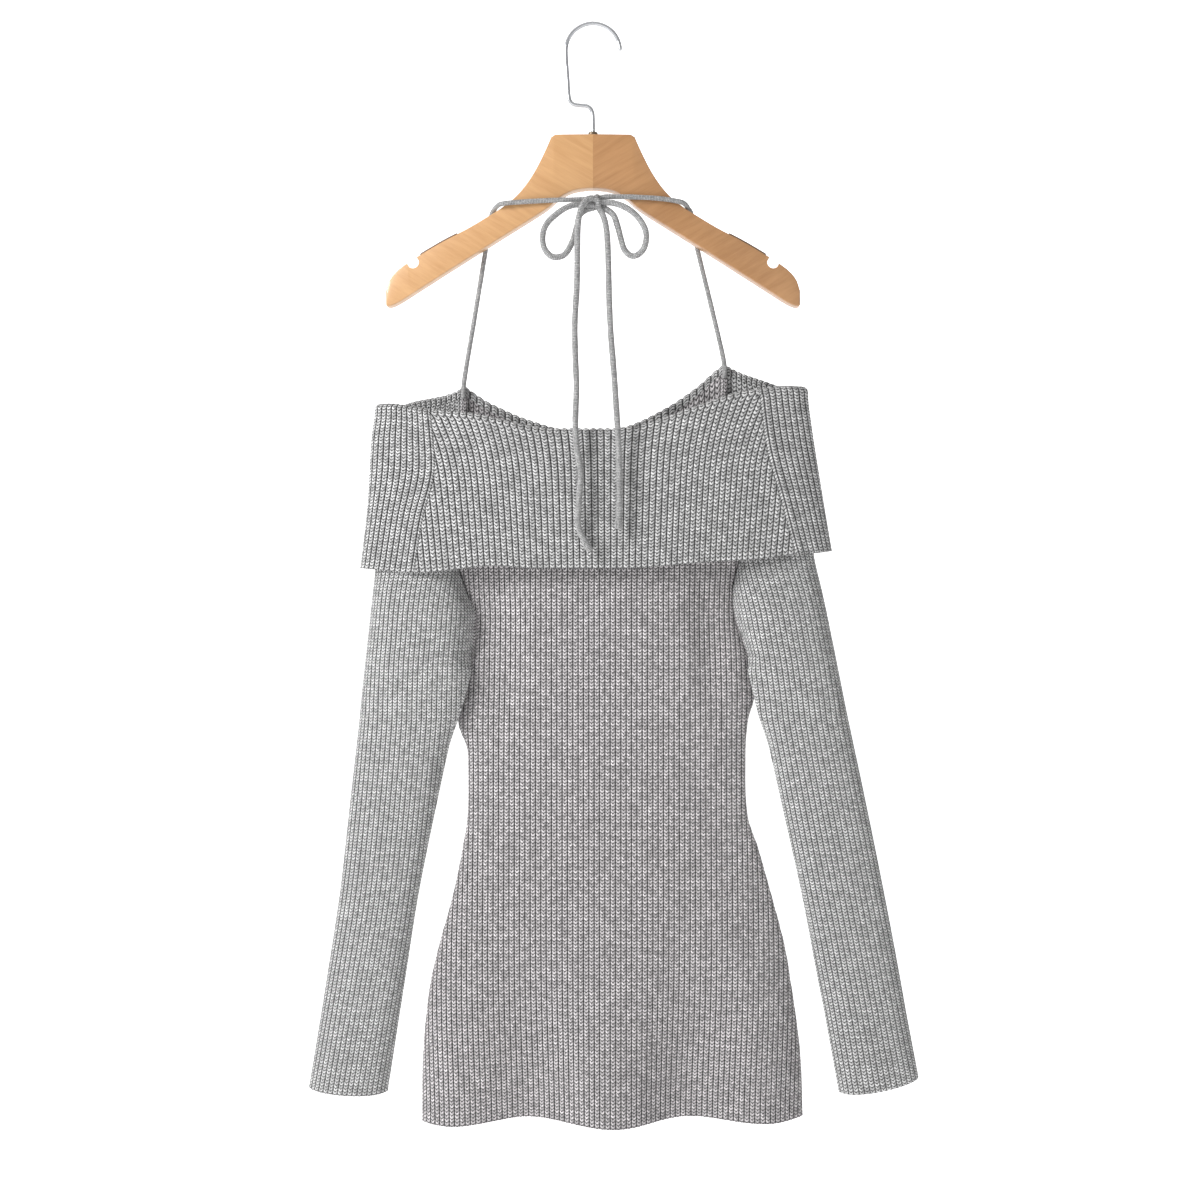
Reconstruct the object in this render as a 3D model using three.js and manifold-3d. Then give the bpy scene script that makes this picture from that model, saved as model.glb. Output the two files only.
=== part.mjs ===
// A rib-knit sweater dress with long sleeves, a wide turned-down collar and two halter cords,
// hung by the bow of its cords from a contoured wooden clothes hanger with a bent wire hook.
//
// Millimetres, +Z up. The origin is on the inner side of the hook's crown, where a rail carries
// it. +X is to the right seen from the dress's back, which faces -Y, and the front faces +Y.
// Heights are given as "drop": millimetres below the origin.
import * as THREE from "three";
import Module from "manifold-3d";
import { mergeVertices } from "three/addons/utils/BufferGeometryUtils.js";

const wasm = await Module();
wasm.setup();

// Cloth
const WALL = 3; // rib knit from the crest of a rib to the inside
const RELIEF = 1.2; // how far the furrow between two ribs lies under their crests
const SEAM_GAP = 0.3;
const NECK_GAP = 0.6; // under the collar's lip
const SIDE_Y = 10; // the plane of the side seams
const BODY_RIB = 5.1; // width of one rib
const SLEEVE_RIB = 4.9;
const COLLAR_RIB = { top: 6.6, hem: 5.8 };
const PLAIN_STEP = 26; // spacing of the columns where no rib is raised
const NECK_STEP = 17; // and along the neck, where two plain edges meet
const PLAIN_TURN = 0.22; // and the most that such a wall turns between two of them, in radians
const RIBS_FROM = 505; // above this the collar hides the body and the sleeves

// Body, from the underarm to the hem: the side seams, and how far the back stands out
// towards -Y and the front towards +Y of the plane of the side seams.
const BODY = [
  { drop: 604, left: -116.0, right: 147.9, back: 19, front: 19 },
  { drop: 640, left: -124.8, right: 156.5, back: 18, front: 19 },
  { drop: 668, left: -130.3, right: 149.6, back: 17, front: 18 },
  { drop: 700, left: -120.6, right: 147.2, back: 16, front: 17 },
  { drop: 757, left: -121.0, right: 149.0, back: 16, front: 17 },
  { drop: 790, left: -126.2, right: 159.5, back: 17, front: 18 },
  { drop: 832, left: -134.6, right: 171.4, back: 18, front: 19 },
  { drop: 880, left: -147.8, right: 184.2, back: 20, front: 20 },
  { drop: 920, left: -157.2, right: 191.2, back: 21, front: 21 },
  { drop: 985, left: -164.0, right: 199.8, back: 23, front: 22 },
  { drop: 1050, left: -165.2, right: 202.4, back: 24, front: 23 },
];
const BODY_ROWS = [604, 662, 708, 760, 822, 892, 968, 1050];

// Raglan seams, from under the collar to the underarm.
const RAGLANS = [
  { drop: 436, backLeft: -146.0, backRight: 151.0, frontLeft: -124.0, frontRight: 130.0, backY: -3.5, frontY: 21 },
  { drop: 505, backLeft: -133.0, backRight: 142.0, frontLeft: -121.5, frontRight: 135.0, backY: -2.5, frontY: 22 },
  { drop: 545, backLeft: -121.2, backRight: 134.2, frontLeft: -119.0, frontRight: 139.0, backY: 0.5, frontY: 21 },
  { drop: 566, backLeft: -113.0, backRight: 136.4, frontLeft: -117.0, frontRight: 142.0, backY: 3.5, frontY: 18 },
  { drop: 604, backLeft: -116.3, backRight: 148.2, frontLeft: -116.3, frontRight: 148.2, backY: 9.7, frontY: 10.3 },
];
const RAGLAN_ROWS = [436, 505, 566];
const UPPER_BODY = { back: -10.5, front: 30 }; // y of both panels' middles above the underarm

// Sleeves, from under the collar to the cuff: the outer fold, the inner fold below the underarm,
// and the y of the layer on the back's side, of the other layer and of the outer fold.
const LEFT_SLEEVE = [
  { drop: 436, outer: -205.5, near: -7, far: 24, fold: 9 },
  { drop: 505, outer: -208.5, near: -9, far: 24, fold: 8 },
  { drop: 545, outer: -212.5, near: -12, far: 23, fold: 7 },
  { drop: 566, outer: -214.7, near: -13, far: 22, fold: 6 },
  { drop: 604, outer: -218.6, inner: -116.6, near: -13, far: 20, fold: 5 },
  { drop: 640, outer: -222.4, inner: -125.4, near: -11, far: 19, fold: 5 },
  { drop: 668, outer: -225.0, inner: -132.6, near: -10, far: 18, fold: 5 },
  { drop: 740, outer: -233.2, inner: -148.4, near: -8, far: 17, fold: 5 },
  { drop: 832, outer: -243.6, inner: -167.0, near: -7, far: 17, fold: 5 },
  { drop: 917, outer: -256.6, inner: -180.4, near: -8, far: 18, fold: 5 },
  { drop: 1021, outer: -273.3, inner: -196.9, near: -10, far: 20, fold: 5 },
];
const RIGHT_SLEEVE = [
  { drop: 436, outer: 206.0, near: -7, far: 24, fold: 9 },
  { drop: 505, outer: 212.5, near: -9, far: 24, fold: 8 },
  { drop: 545, outer: 221.4, near: -12, far: 23, fold: 7 },
  { drop: 566, outer: 225.8, near: -12, far: 22, fold: 6 },
  { drop: 604, outer: 233.3, inner: 148.5, near: -12, far: 20, fold: 5 },
  { drop: 640, outer: 240.4, inner: 157.1, near: -10, far: 19, fold: 5 },
  { drop: 668, outer: 246.1, inner: 163.2, near: -9, far: 18, fold: 5 },
  { drop: 740, outer: 261.4, inner: 179.3, near: -8, far: 17, fold: 5 },
  { drop: 832, outer: 280.0, inner: 199.8, near: -7, far: 17, fold: 5 },
  { drop: 917, outer: 296.0, inner: 216.0, near: -8, far: 18, fold: 5 },
  { drop: 1017, outer: 313.2, inner: 236.1, near: -10, far: 20, fold: 5 },
];
const ELBOW = 740; // a row of both tables
// How far the cuff's outer corner lies above its inner one, and how far its middle bows down.
const CUFF = { leftRise: 4, rightRise: 14.5, bow: 3 };

// Neckline: the top of the collar's fold. Its two peaks on the front carry the halter cords.
const NECK_LEFT = -210;
const NECK_RIGHT = 208;
const NECK_BACK = [
  { x: -210, drop: 362 },
  { x: -190, drop: 362.6 },
  { x: -154, drop: 368.5 },
  { x: -110, drop: 373 },
  { x: -70, drop: 382.5 },
  { x: -38, drop: 387 },
  { x: 20, drop: 387 },
  { x: 50, drop: 382.5 },
  { x: 88, drop: 369 },
  { x: 133, drop: 353.5 },
  { x: 160, drop: 348.5 },
  { x: 188, drop: 345.2 },
  { x: 208, drop: 345.5 },
];
const PEAK = { left: -125.4, right: 127.2 };
const NECK_FRONT_LEFT = [
  { x: -210, drop: 362 },
  { x: -190, drop: 362.6 },
  { x: -174, drop: 358 },
  { x: -148, drop: 352.5 },
  { x: -133, drop: 347.5 },
  { x: -125.4, drop: 342 },
];
const NECK_FRONT = [
  { x: -125.4, drop: 342 },
  { x: -116, drop: 349 },
  { x: -100, drop: 359 },
  { x: -60, drop: 376 },
  { x: -15, drop: 386 },
  { x: 30, drop: 382 },
  { x: 70, drop: 364 },
  { x: 100, drop: 344 },
  { x: 117, drop: 329 },
  { x: 127.2, drop: 321 },
];
const NECK_FRONT_RIGHT = [
  { x: 127.2, drop: 321 },
  { x: 142, drop: 329 },
  { x: 165, drop: 337.5 },
  { x: 188, drop: 345.2 },
  { x: 208, drop: 345.5 },
];

// Collar, turned down from the fold: its ends, and its y on the back and the front, by the share
// of the way from the fold to its hem.
const COLLAR = [
  { share: 0.03, left: -210.5, right: 207.5, back: -13.5, front: 32 },
  { share: 0.22, left: -214, right: 210.5, back: -17, front: 35 },
  { share: 0.6, left: -217.5, right: 220, back: -20.5, front: 39 },
  { share: 1, left: -224.6, right: 230.4, back: -25, front: 43 },
];
const COLLAR_ROWS = [0.03, 0.36, 0.7, 1];
const FOLD_STAND = 7; // between the outsides of the two walls that the fold joins
const COLLAR_WALL = 2.6; // from the crest of a rib to the wall's plain side
const LIP = 9; // how far inside the neck the collar's seam lies under the fold
const COLLAR_HEM_BACK = [
  { x: -225, drop: 520.5 },
  { x: -167, drop: 525.3 },
  { x: -91, drop: 518.8 },
  { x: -55, drop: 521 },
  { x: 28, drop: 521 },
  { x: 108, drop: 515.2 },
  { x: 156, drop: 512.5 },
  { x: 203, drop: 506.5 },
  { x: 231, drop: 504 },
];
const COLLAR_HEM_FRONT = [
  { x: -225, drop: 520.5 },
  { x: -140, drop: 525 },
  { x: -40, drop: 521 },
  { x: 60, drop: 523 },
  { x: 150, drop: 513 },
  { x: 231, drop: 504 },
];
const COLLAR_SEAMS = [
  { share: 0, backLeft: -155.5, backRight: 159, frontLeft: -125.4, frontRight: 127.2 },
  { share: 0.35, backLeft: -150.5, backRight: 166, frontLeft: -127, frontRight: 133 },
  { share: 0.68, backLeft: -162, backRight: 180, frontLeft: -134, frontRight: 142 },
  { share: 1, backLeft: -170, backRight: 193.5, frontLeft: -146, frontRight: 155 },
];

// Soft folds: each lies along one height line, deepest at "drop" and fading over "reach".
const HEM_FOLDS_BACK = [
  { x: -141, depth: -9, half: 46, drop: 1060, reach: 210 },
  { x: -62, depth: 12, half: 52, drop: 1060, reach: 240 },
  { x: 19, depth: -10, half: 52, drop: 1060, reach: 200 },
  { x: 93, depth: 12, half: 54, drop: 1060, reach: 250 },
  { x: 170, depth: -8, half: 44, drop: 1060, reach: 190 },
];
const HEM_FOLDS_FRONT = [
  { x: -118, depth: 8, half: 50, drop: 1060, reach: 220 },
  { x: -30, depth: -11, half: 56, drop: 1060, reach: 250 },
  { x: 58, depth: 9, half: 50, drop: 1060, reach: 200 },
  { x: 140, depth: -10, half: 52, drop: 1060, reach: 230 },
];
const CHEST_FOLDS_BACK = [
  { x: -86, depth: 5.5, half: 26, drop: 585, reach: 95 },
  { x: 112, depth: 5.5, half: 24, drop: 575, reach: 90 },
];
const CHEST_FOLDS_FRONT = [
  { x: -80, depth: -6, half: 30, drop: 590, reach: 100 },
  { x: 104, depth: -6, half: 28, drop: 590, reach: 100 },
];
const HEM_BACK = [
  { x: -166, drop: 1052 },
  { x: -140, drop: 1053 },
  { x: -62, drop: 1046 },
  { x: 19, drop: 1052 },
  { x: 93, drop: 1045.5 },
  { x: 170, drop: 1050 },
  { x: 203, drop: 1047 },
];
const HEM_FRONT = [
  { x: -166, drop: 1052 },
  { x: -118, drop: 1047 },
  { x: -30, drop: 1054 },
  { x: 58, drop: 1048 },
  { x: 140, drop: 1051 },
  { x: 203, drop: 1047 },
];

// Hanger: each half from the glued joint at x = 0 to the tip.
const HANGER_THICK = 15;
const HANGER_EDGE = 2.6; // the rounding of its long edges
const HANGER_SWEEP = { tip: 22, reach: 200, power: 1.6 }; // its arms bend towards the front
const HANGER_HALF = [
  { x: 0.15, top: 106, bottom: 157 },
  { x: 18, top: 106, bottom: 159.5 },
  { x: 29, top: 106, bottom: 164.5 },
  { x: 37, top: 106, bottom: 170.5 },
  { x: 40, top: 108.5, bottom: 173.5 },
  { x: 45.5, top: 121, bottom: 177.5 },
  { x: 57, top: 143, bottom: 184.8 },
  { x: 70, top: 160.5, bottom: 192.6 },
  { x: 84, top: 172.5, bottom: 201 },
  { x: 100, top: 182.5, bottom: 210.6 },
  { x: 120, top: 193.8, bottom: 222.6 },
  { x: 146, top: 206.5, bottom: 238.2 },
  { x: 172, top: 221, bottom: 253.8 },
  { x: 184, top: 228.5, bottom: 261 },
  { x: 192, top: 235, bottom: 265 },
  { x: 197.5, top: 242.5, bottom: 266.5 },
  { x: 200.5, top: 252, bottom: 266 },
];
const NOTCH = { x: 173.8, drop: 225, radius: 5.8 };
const GRIP = { from: 131, to: 167, wide: 7, thick: 1.2 };

// Hook
const WIRE = 3.8;
const CROWN_RADIUS = 26; // of the wire's centreline
const SHANK = [
  { x: -25.6, drop: 34 },
  { x: -24.3, drop: 52 },
  { x: -23, drop: 69 },
  { x: -19.5, drop: 75.2 },
  { x: -12, drop: 76.8 },
  { x: -5.5, drop: 77.6 },
  { x: -1.2, drop: 82 },
  { x: 0, drop: 92 },
  { x: 0, drop: 128 },
];
const SHANK_HOLE = { radius: 2.3, depth: 26 };
const FERRULE = { radius: 4.6, high: 3, bore: 2.3 };

// Halter cords. Each runs from inside the front's peak up behind the hanger's arm, over it and
// along the hanger's back to the knot, where it makes one loop of the bow and one tail.
const STRAP_WIDE = 4.6;
const CORD_WIDE = 5.8;
const CORD_SIDES = 8;
const STRAP_LEFT = [
  [-125.4, 17.0, -356],
  [-124.8, 17.0, -338],
  [-114.5, 17.8, -275],
  [-103.2, 18.2, -206],
  [-99.8, 18.7, -188],
  [-98.4, 16.9, -177.8],
  [-95.8, 8.0, -175.8],
  [-92.3, -0.8, -173.9],
  [-86.0, -5.9, -172.2],
  [-66.0, -7.2, -170.8],
  [-40.0, -8.8, -169.8],
  [-18.0, -9.8, -169.4],
  [-3.2, -10.2, -169.2],
];
const STRAP_RIGHT = [
  [127.2, 17.0, -336],
  [126.4, 17.0, -318],
  [114.5, 17.8, -266],
  [100.0, 18.0, -206],
  [96.6, 17.8, -188],
  [94.8, 16.0, -176.4],
  [92.0, 7.6, -174.2],
  [88.2, -1.2, -171.7],
  [82.0, -5.8, -170.2],
  [64.0, -7.4, -167.8],
  [42.0, -8.8, -166.8],
  [24.0, -9.6, -166.6],
  [12.2, -10.2, -166.8],
];
const LOOP_LEFT = [
  [-3.4, -11.6, -174.6],
  [-12.0, -13.0, -174.8],
  [-22.0, -14.0, -176.6],
  [-33.0, -14.6, -183.0],
  [-43.8, -14.8, -193.4],
  [-47.8, -14.4, -204.6],
  [-46.6, -13.6, -215.6],
  [-40.6, -13.0, -223.4],
  [-33.2, -12.6, -224.8],
  [-25.8, -12.2, -221.0],
  [-19.4, -11.8, -209.4],
  [-15.4, -11.2, -195.0],
  [-12.6, -10.4, -184.4],
  [-6.2, -7.2, -178.4],
];
const LOOP_RIGHT = [
  [12.4, -11.6, -172.6],
  [20.0, -13.0, -173.6],
  [30.4, -14.0, -177.6],
  [40.6, -14.6, -185.0],
  [48.2, -14.8, -195.6],
  [50.8, -14.4, -205.6],
  [48.4, -13.8, -216.6],
  [42.0, -13.2, -223.0],
  [35.6, -12.8, -223.2],
  [29.6, -12.4, -217.0],
  [26.2, -12.0, -205.6],
  [23.2, -11.6, -194.4],
  [19.4, -11.2, -184.4],
  [12.0, -9.4, -178.2],
];
const TAIL_LEFT = [
  [-4.4, -18.0, -170.6],
  [-9.4, -19.8, -176.2],
  [-12.6, -20.6, -185.0],
  [-14.4, -20.6, -199.0],
  [-14.8, -20.2, -222.0],
  [-15.2, -19.6, -252.0],
  [-17.2, -19.2, -290.0],
  [-16.6, -19.8, -322.0],
  [-15.6, -21.0, -350.0],
  [-16.6, -23.6, -384.0],
  [-15.2, -25.6, -408.0],
  [-11.6, -27.0, -430.0],
  [-13.0, -28.4, -456.0],
  [-14.0, -29.6, -480.0],
  [-8.6, -30.4, -494.0],
  [-2.4, -31.0, -505.0],
];
const TAIL_RIGHT = [
  [7.0, -12.8, -180.6],
  [9.8, -14.6, -186.4],
  [12.4, -16.4, -196.6],
  [14.0, -17.6, -214.0],
  [14.8, -18.4, -240.0],
  [15.4, -19.0, -268.0],
  [17.0, -19.4, -300.0],
  [19.6, -20.2, -332.0],
  [21.4, -21.6, -358.0],
  [23.4, -24.6, -390.0],
  [24.6, -26.4, -416.0],
  [25.2, -27.8, -442.0],
  [24.8, -29.2, -466.0],
  [24.2, -30.0, -484.0],
];
const KNOT = { x: 4.4, y: -11.2, drop: 171.6, wide: 14.4, deep: 13, high: 13.6 };

const COLOURS = {
  knit: 0xa9a6a5,
  cord: 0xa3a1a1,
  birch: 0xcd9560,
  wire: 0xc9ccd0,
  ferrule: 0x4a3a28,
  grip: 0x57392a,
};

const lerp = (a, b, t) => a + (b - a) * t;
const clamp = (v, low, high) => Math.min(high, Math.max(low, v));

// The value of a table's column at "at" of its key column, on a smooth curve through the rows.
function smooth(table, key, column, at) {
  const last = table.length - 1;
  const sign = table[last][key] > table[0][key] ? 1 : -1;
  let i = 0;
  while (i < last - 1 && sign * (at - table[i + 1][key]) > 0) i++;
  const slope = (j) => {
    const a = Math.max(0, j - 1);
    const b = Math.min(last, j + 1);
    const left = j > 0 ? (table[j][column] - table[j - 1][column]) / (table[j][key] - table[j - 1][key]) : null;
    const right = j < last ? (table[j + 1][column] - table[j][column]) / (table[j + 1][key] - table[j][key]) : null;
    if (left !== null && right !== null && left * right <= 0) return 0;
    return (table[b][column] - table[a][column]) / (table[b][key] - table[a][key]);
  };
  const span = table[i + 1][key] - table[i][key];
  const t = clamp((at - table[i][key]) / span, 0, 1);
  const a = table[i][column];
  const b = table[i + 1][column];
  return (
    a * (1 + 2 * t) * (1 - t) ** 2 +
    slope(i) * span * t * (1 - t) ** 2 +
    b * t * t * (3 - 2 * t) -
    slope(i + 1) * span * t * t * (1 - t)
  );
}

// A line in the plane of one height, measured along its length. Its inner side is on the left
// of its direction when "turn" is 1 and on the right when it is -1.
class Line {
  constructor(points, turn) {
    this.points = points;
    this.turn = turn;
    this.along = [0];
    for (let i = 1; i < points.length; i++)
      this.along.push(this.along[i - 1] + points[i].distanceTo(points[i - 1]));
  }

  get length() {
    return this.along[this.along.length - 1];
  }

  // The point at a length, moved "inset" to the inner side.
  at(length, inset = 0) {
    const reach = clamp(length, 0, this.length);
    let i = 1;
    while (i < this.points.length - 1 && this.along[i] < reach) i++;
    const a = this.points[i - 1];
    const b = this.points[i];
    const t = (reach - this.along[i - 1]) / (this.along[i] - this.along[i - 1]);
    const before = this.points[Math.max(0, i - 2)];
    const after = this.points[Math.min(this.points.length - 1, i + 1)];
    const tangent = b.clone().sub(before).normalize().lerp(after.clone().sub(a).normalize(), t).normalize();
    return new THREE.Vector2(
      lerp(a.x, b.x, t) - tangent.y * this.turn * inset,
      lerp(a.y, b.y, t) + tangent.x * this.turn * inset,
    );
  }

  // The length at which the line first reaches x.
  reaching(x) {
    for (let i = 1; i < this.points.length; i++) {
      const a = this.points[i - 1].x;
      const b = this.points[i].x;
      if ((a - x) * (b - x) <= 0 && a !== b)
        return lerp(this.along[i - 1], this.along[i], (x - a) / (b - a));
    }
    return 0;
  }

  // The lengths that divide a part of the line evenly.
  evenLengths(from, to, step) {
    const count = Math.round((to - from) / step);
    return Array.from({ length: count + 1 }, (_, i) => lerp(from, to, i / count));
  }

  // The lengths that a plain wall needs so that it neither turns nor runs too far in one step.
  plainLengths(from, to) {
    const found = [from];
    let turned = 0;
    for (let i = 1; i < this.points.length - 1; i++) {
      const s = this.along[i];
      if (s <= from + 1 || s >= to - 1) continue;
      const a = this.points[i].clone().sub(this.points[i - 1]);
      const b = this.points[i + 1].clone().sub(this.points[i]);
      turned += Math.abs(Math.atan2(a.cross(b), a.dot(b)));
      if (turned > PLAIN_TURN || s - found[found.length - 1] > PLAIN_STEP) {
        found.push(s);
        turned = 0;
      }
    }
    found.push(to);
    return found;
  }
}

// One row of a knitted wall: the outside and the inside points between two lengths of a line.
// A point's key says where it lies across the wales, so that two rows join wale to wale. A row
// at the neck has its plain columns at even steps, as its neighbour has.
function wallRow({ line, from, to, origin, rib, ribbed, neck, height, wall = WALL, face = 1 }) {
  const key = (s) => (s - origin) / rib;
  const place = (s, inset) => {
    const p = line.at(s, face * inset);
    return { key: key(s), at: new THREE.Vector3(p.x, p.y, height(p)) };
  };
  const plain = neck ? line.evenLengths(from, to, NECK_STEP) : line.plainLengths(from, to);
  const inside = plain.map((s) => place(s, wall));
  if (!ribbed) return { outside: plain.map((s) => place(s, RELIEF / 2)), inside };
  const outside = [place(from, RELIEF / 2)];
  const margin = 0.3 * rib;
  for (let half = Math.ceil(2 * key(from + margin)); half <= 2 * key(to - margin); half++)
    outside.push(place(origin + (half / 2) * rib, half % 2 === 0 ? 0 : RELIEF));
  outside.push(place(to, RELIEF / 2));
  return { outside, inside };
}

// The closed solid between a wall's outside and inside rows.
function wallSolid(rows) {
  const positions = [];
  const triangles = [];
  const number = (point) => {
    positions.push(point.at.x, point.at.y, point.at.z);
    return { key: point.key, index: positions.length / 3 - 1 };
  };
  const outside = rows.map((row) => row.outside.map(number));
  const inside = rows.map((row) => row.inside.map(number));
  // Triangles between two rows of points, each step going on where the next key is nearer.
  const join = (a, b, flip) => {
    let i = 0;
    let j = 0;
    while (i < a.length - 1 || j < b.length - 1) {
      const nextA = i < a.length - 1 ? a[i + 1].key : Infinity;
      const nextB = j < b.length - 1 ? b[j + 1].key : Infinity;
      const third = nextA <= nextB ? a[i + 1] : b[j + 1];
      const corner = [a[i].index, b[j].index, third.index];
      triangles.push(...(flip ? corner.reverse() : corner));
      if (nextA <= nextB) i++;
      else j++;
    }
  };
  for (let r = 1; r < rows.length; r++) {
    join(outside[r - 1], outside[r], false);
    join(inside[r - 1], inside[r], true);
  }
  join(outside[0], inside[0], true);
  join(outside[rows.length - 1], inside[rows.length - 1], false);
  const edge = (pick, flip) => {
    for (let r = 1; r < rows.length; r++) {
      const corners = [pick(outside[r - 1]), pick(outside[r]), pick(inside[r]), pick(inside[r - 1])];
      const [a, b, c, d] = corners.map((corner) => corner.index);
      triangles.push(...(flip ? [a, c, b, a, d, c] : [a, b, c, a, c, d]));
    }
  };
  edge((row) => row[0], true);
  edge((row) => row[row.length - 1], false);
  return solidGeometry(positions, triangles);
}

// A geometry of shared points whose faces are turned outwards.
function solidGeometry(positions, triangles) {
  let volume = 0;
  const corner = (i) => new THREE.Vector3().fromArray(positions, 3 * triangles[i]);
  for (let i = 0; i < triangles.length; i += 3)
    volume += corner(i).dot(corner(i + 1).cross(corner(i + 2)));
  if (volume < 0) triangles.reverse();
  const geometry = new THREE.BufferGeometry();
  geometry.setAttribute("position", new THREE.Float32BufferAttribute(positions, 3));
  geometry.setIndex(triangles);
  return geometry;
}

// How far soft folds move a panel in y, at a place across it and a height.
function foldDepth(folds, x, drop) {
  let depth = 0;
  for (const fold of folds) {
    const across = clamp(Math.abs(x - fold.x) / fold.half, 0, 1);
    const along = clamp(Math.abs(drop - fold.drop) / fold.reach, 0, 1);
    depth += fold.depth * Math.cos((across * Math.PI) / 2) ** 2 * Math.cos((along * Math.PI) / 2) ** 2;
  }
  return depth;
}

// A panel's line at one height: from its left edge to its right one, standing out to "middle".
// "Round" is how steeply it leaves its edges, from 0.42 at a folded side to 1 in a flat piece.
function panelLine(left, right, edgeY, middle, round, folds, drop, turn) {
  const points = [];
  const samples = 240;
  for (let i = 0; i <= samples; i++) {
    const t = -Math.cos((Math.PI * i) / samples);
    const x = lerp(left, right, (t + 1) / 2);
    const out = Math.max(0, 1 - Math.abs(t) ** 2.6) ** round;
    points.push(new THREE.Vector2(x, lerp(edgeY, middle, out) + foldDepth(folds, x, drop) * out));
  }
  return new Line(points, turn);
}

// The neck's ring, which the body, the sleeves and the collar's lip share: a flat loop from its
// left end along the back to its right end and along the front to the left end again.
function ringLine(left, right, back, front) {
  const centre = (left + right) / 2;
  const half = (right - left) / 2;
  const middle = (back + front) / 2;
  const deep = (front - back) / 2;
  const points = [];
  const samples = 480;
  for (let i = 0; i <= samples; i++) {
    const angle = Math.PI + (2 * Math.PI * i) / samples;
    const c = Math.cos(angle);
    const s = Math.sin(angle);
    const x = centre + half * Math.sign(c) * Math.abs(c) ** 0.8;
    points.push(new THREE.Vector2(x, middle + deep * Math.sign(s) * Math.abs(s) ** 0.75));
  }
  return new Line(points, 1);
}

// The part of a ring between two of its lengths, which may run over its closing point.
function ringPart(ring, from, to) {
  const points = [];
  const samples = Math.ceil((to - from) / 1.5);
  for (let i = 0; i <= samples; i++) {
    const s = lerp(from, to, i / samples);
    points.push(ring.at(((s % ring.length) + ring.length) % ring.length));
  }
  return new Line(points, ring.turn);
}

const collarAt = (share) => ({
  left: smooth(COLLAR, "share", "left", share),
  right: smooth(COLLAR, "share", "right", share),
  back: smooth(COLLAR, "share", "back", share),
  front: smooth(COLLAR, "share", "front", share),
});
const neckRow = collarAt(COLLAR[0].share);
const neckRing = (inset) =>
  ringLine(neckRow.left + inset, neckRow.right - inset, neckRow.back + inset, neckRow.front - inset);
const baseRing = neckRing(FOLD_STAND);

// The height of the fold's top at a place on the neck.
function neckDrop({ x, y }) {
  const at = clamp(x, NECK_LEFT, NECK_RIGHT);
  if (y < SIDE_Y) return smooth(NECK_BACK, "x", "drop", at);
  if (at < PEAK.left) return smooth(NECK_FRONT_LEFT, "x", "drop", at);
  if (at > PEAK.right) return smooth(NECK_FRONT_RIGHT, "x", "drop", at);
  return smooth(NECK_FRONT, "x", "drop", at);
}
const lipHeight = (p) => -neckDrop(p) - LIP;

// Where a ring's back and front pass an x, as lengths along it from its left end.
function ringLengths(ring, seams) {
  const backHalf = new Line(ring.points.slice(0, 241), 1);
  const frontHalf = new Line(ring.points.slice(240), 1);
  return {
    backLeft: backHalf.reaching(seams.backLeft),
    backRight: backHalf.reaching(seams.backRight),
    frontRight: backHalf.length + frontHalf.reaching(seams.frontRight),
    frontLeft: backHalf.length + frontHalf.reaching(seams.frontLeft),
    rightEnd: backHalf.length,
    whole: ring.length,
  };
}

const raglanAt = (drop) =>
  Object.fromEntries(
    ["backLeft", "backRight", "frontLeft", "frontRight", "backY", "frontY"].map((column) => [
      column,
      smooth(RAGLANS, "drop", column, drop),
    ]),
  );

// The back and the front of the body, from the neck to the hem.
function bodyPanel(side) {
  const back = side === "back";
  const turn = back ? 1 : -1;
  const seam = back ? -SEAM_GAP / 2 : SEAM_GAP / 2;
  const middle = back ? UPPER_BODY.back : UPPER_BODY.front;
  const folds = back ? [...HEM_FOLDS_BACK, ...CHEST_FOLDS_BACK] : [...HEM_FOLDS_FRONT, ...CHEST_FOLDS_FRONT];
  const hem = back ? HEM_BACK : HEM_FRONT;
  const centreX = 14; // the wale that runs down the middle
  const rows = [];
  const addRow = (line, ribbed, height) =>
    rows.push(
      wallRow({
        line,
        from: SEAM_GAP / 2,
        to: line.length - SEAM_GAP / 2,
        origin: line.reaching(centreX),
        rib: BODY_RIB,
        ribbed,
        neck: rows.length === 0,
        height,
      }),
    );
  const lengths = ringLengths(baseRing, COLLAR_SEAMS[0]);
  const neck = back
    ? ringPart(baseRing, lengths.backLeft, lengths.backRight)
    : new Line(ringPart(baseRing, lengths.frontRight, lengths.frontLeft).points.reverse(), turn);
  addRow(neck, false, (p) => lipHeight(p) - NECK_GAP);
  for (const drop of RAGLAN_ROWS) {
    const seams = raglanAt(drop);
    const left = back ? seams.backLeft : seams.frontLeft;
    const right = back ? seams.backRight : seams.frontRight;
    const edgeY = back ? seams.backY : seams.frontY;
    const line = panelLine(left, right, edgeY, middle, 0.8, folds, drop, turn);
    addRow(line, drop >= RIBS_FROM, () => -drop);
  }
  for (const drop of BODY_ROWS) {
    const left = smooth(BODY, "drop", "left", drop);
    const right = smooth(BODY, "drop", "right", drop);
    const out = smooth(BODY, "drop", side, drop) * (back ? -1 : 1);
    const line = panelLine(left, right, SIDE_Y + seam, SIDE_Y + out, 0.42, folds, drop, turn);
    const last = drop === BODY_ROWS[BODY_ROWS.length - 1];
    addRow(line, true, (p) => -(last ? smooth(hem, "x", "drop", clamp(p.x, -165, 202)) : drop));
  }
  return wallSolid(rows);
}

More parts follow.
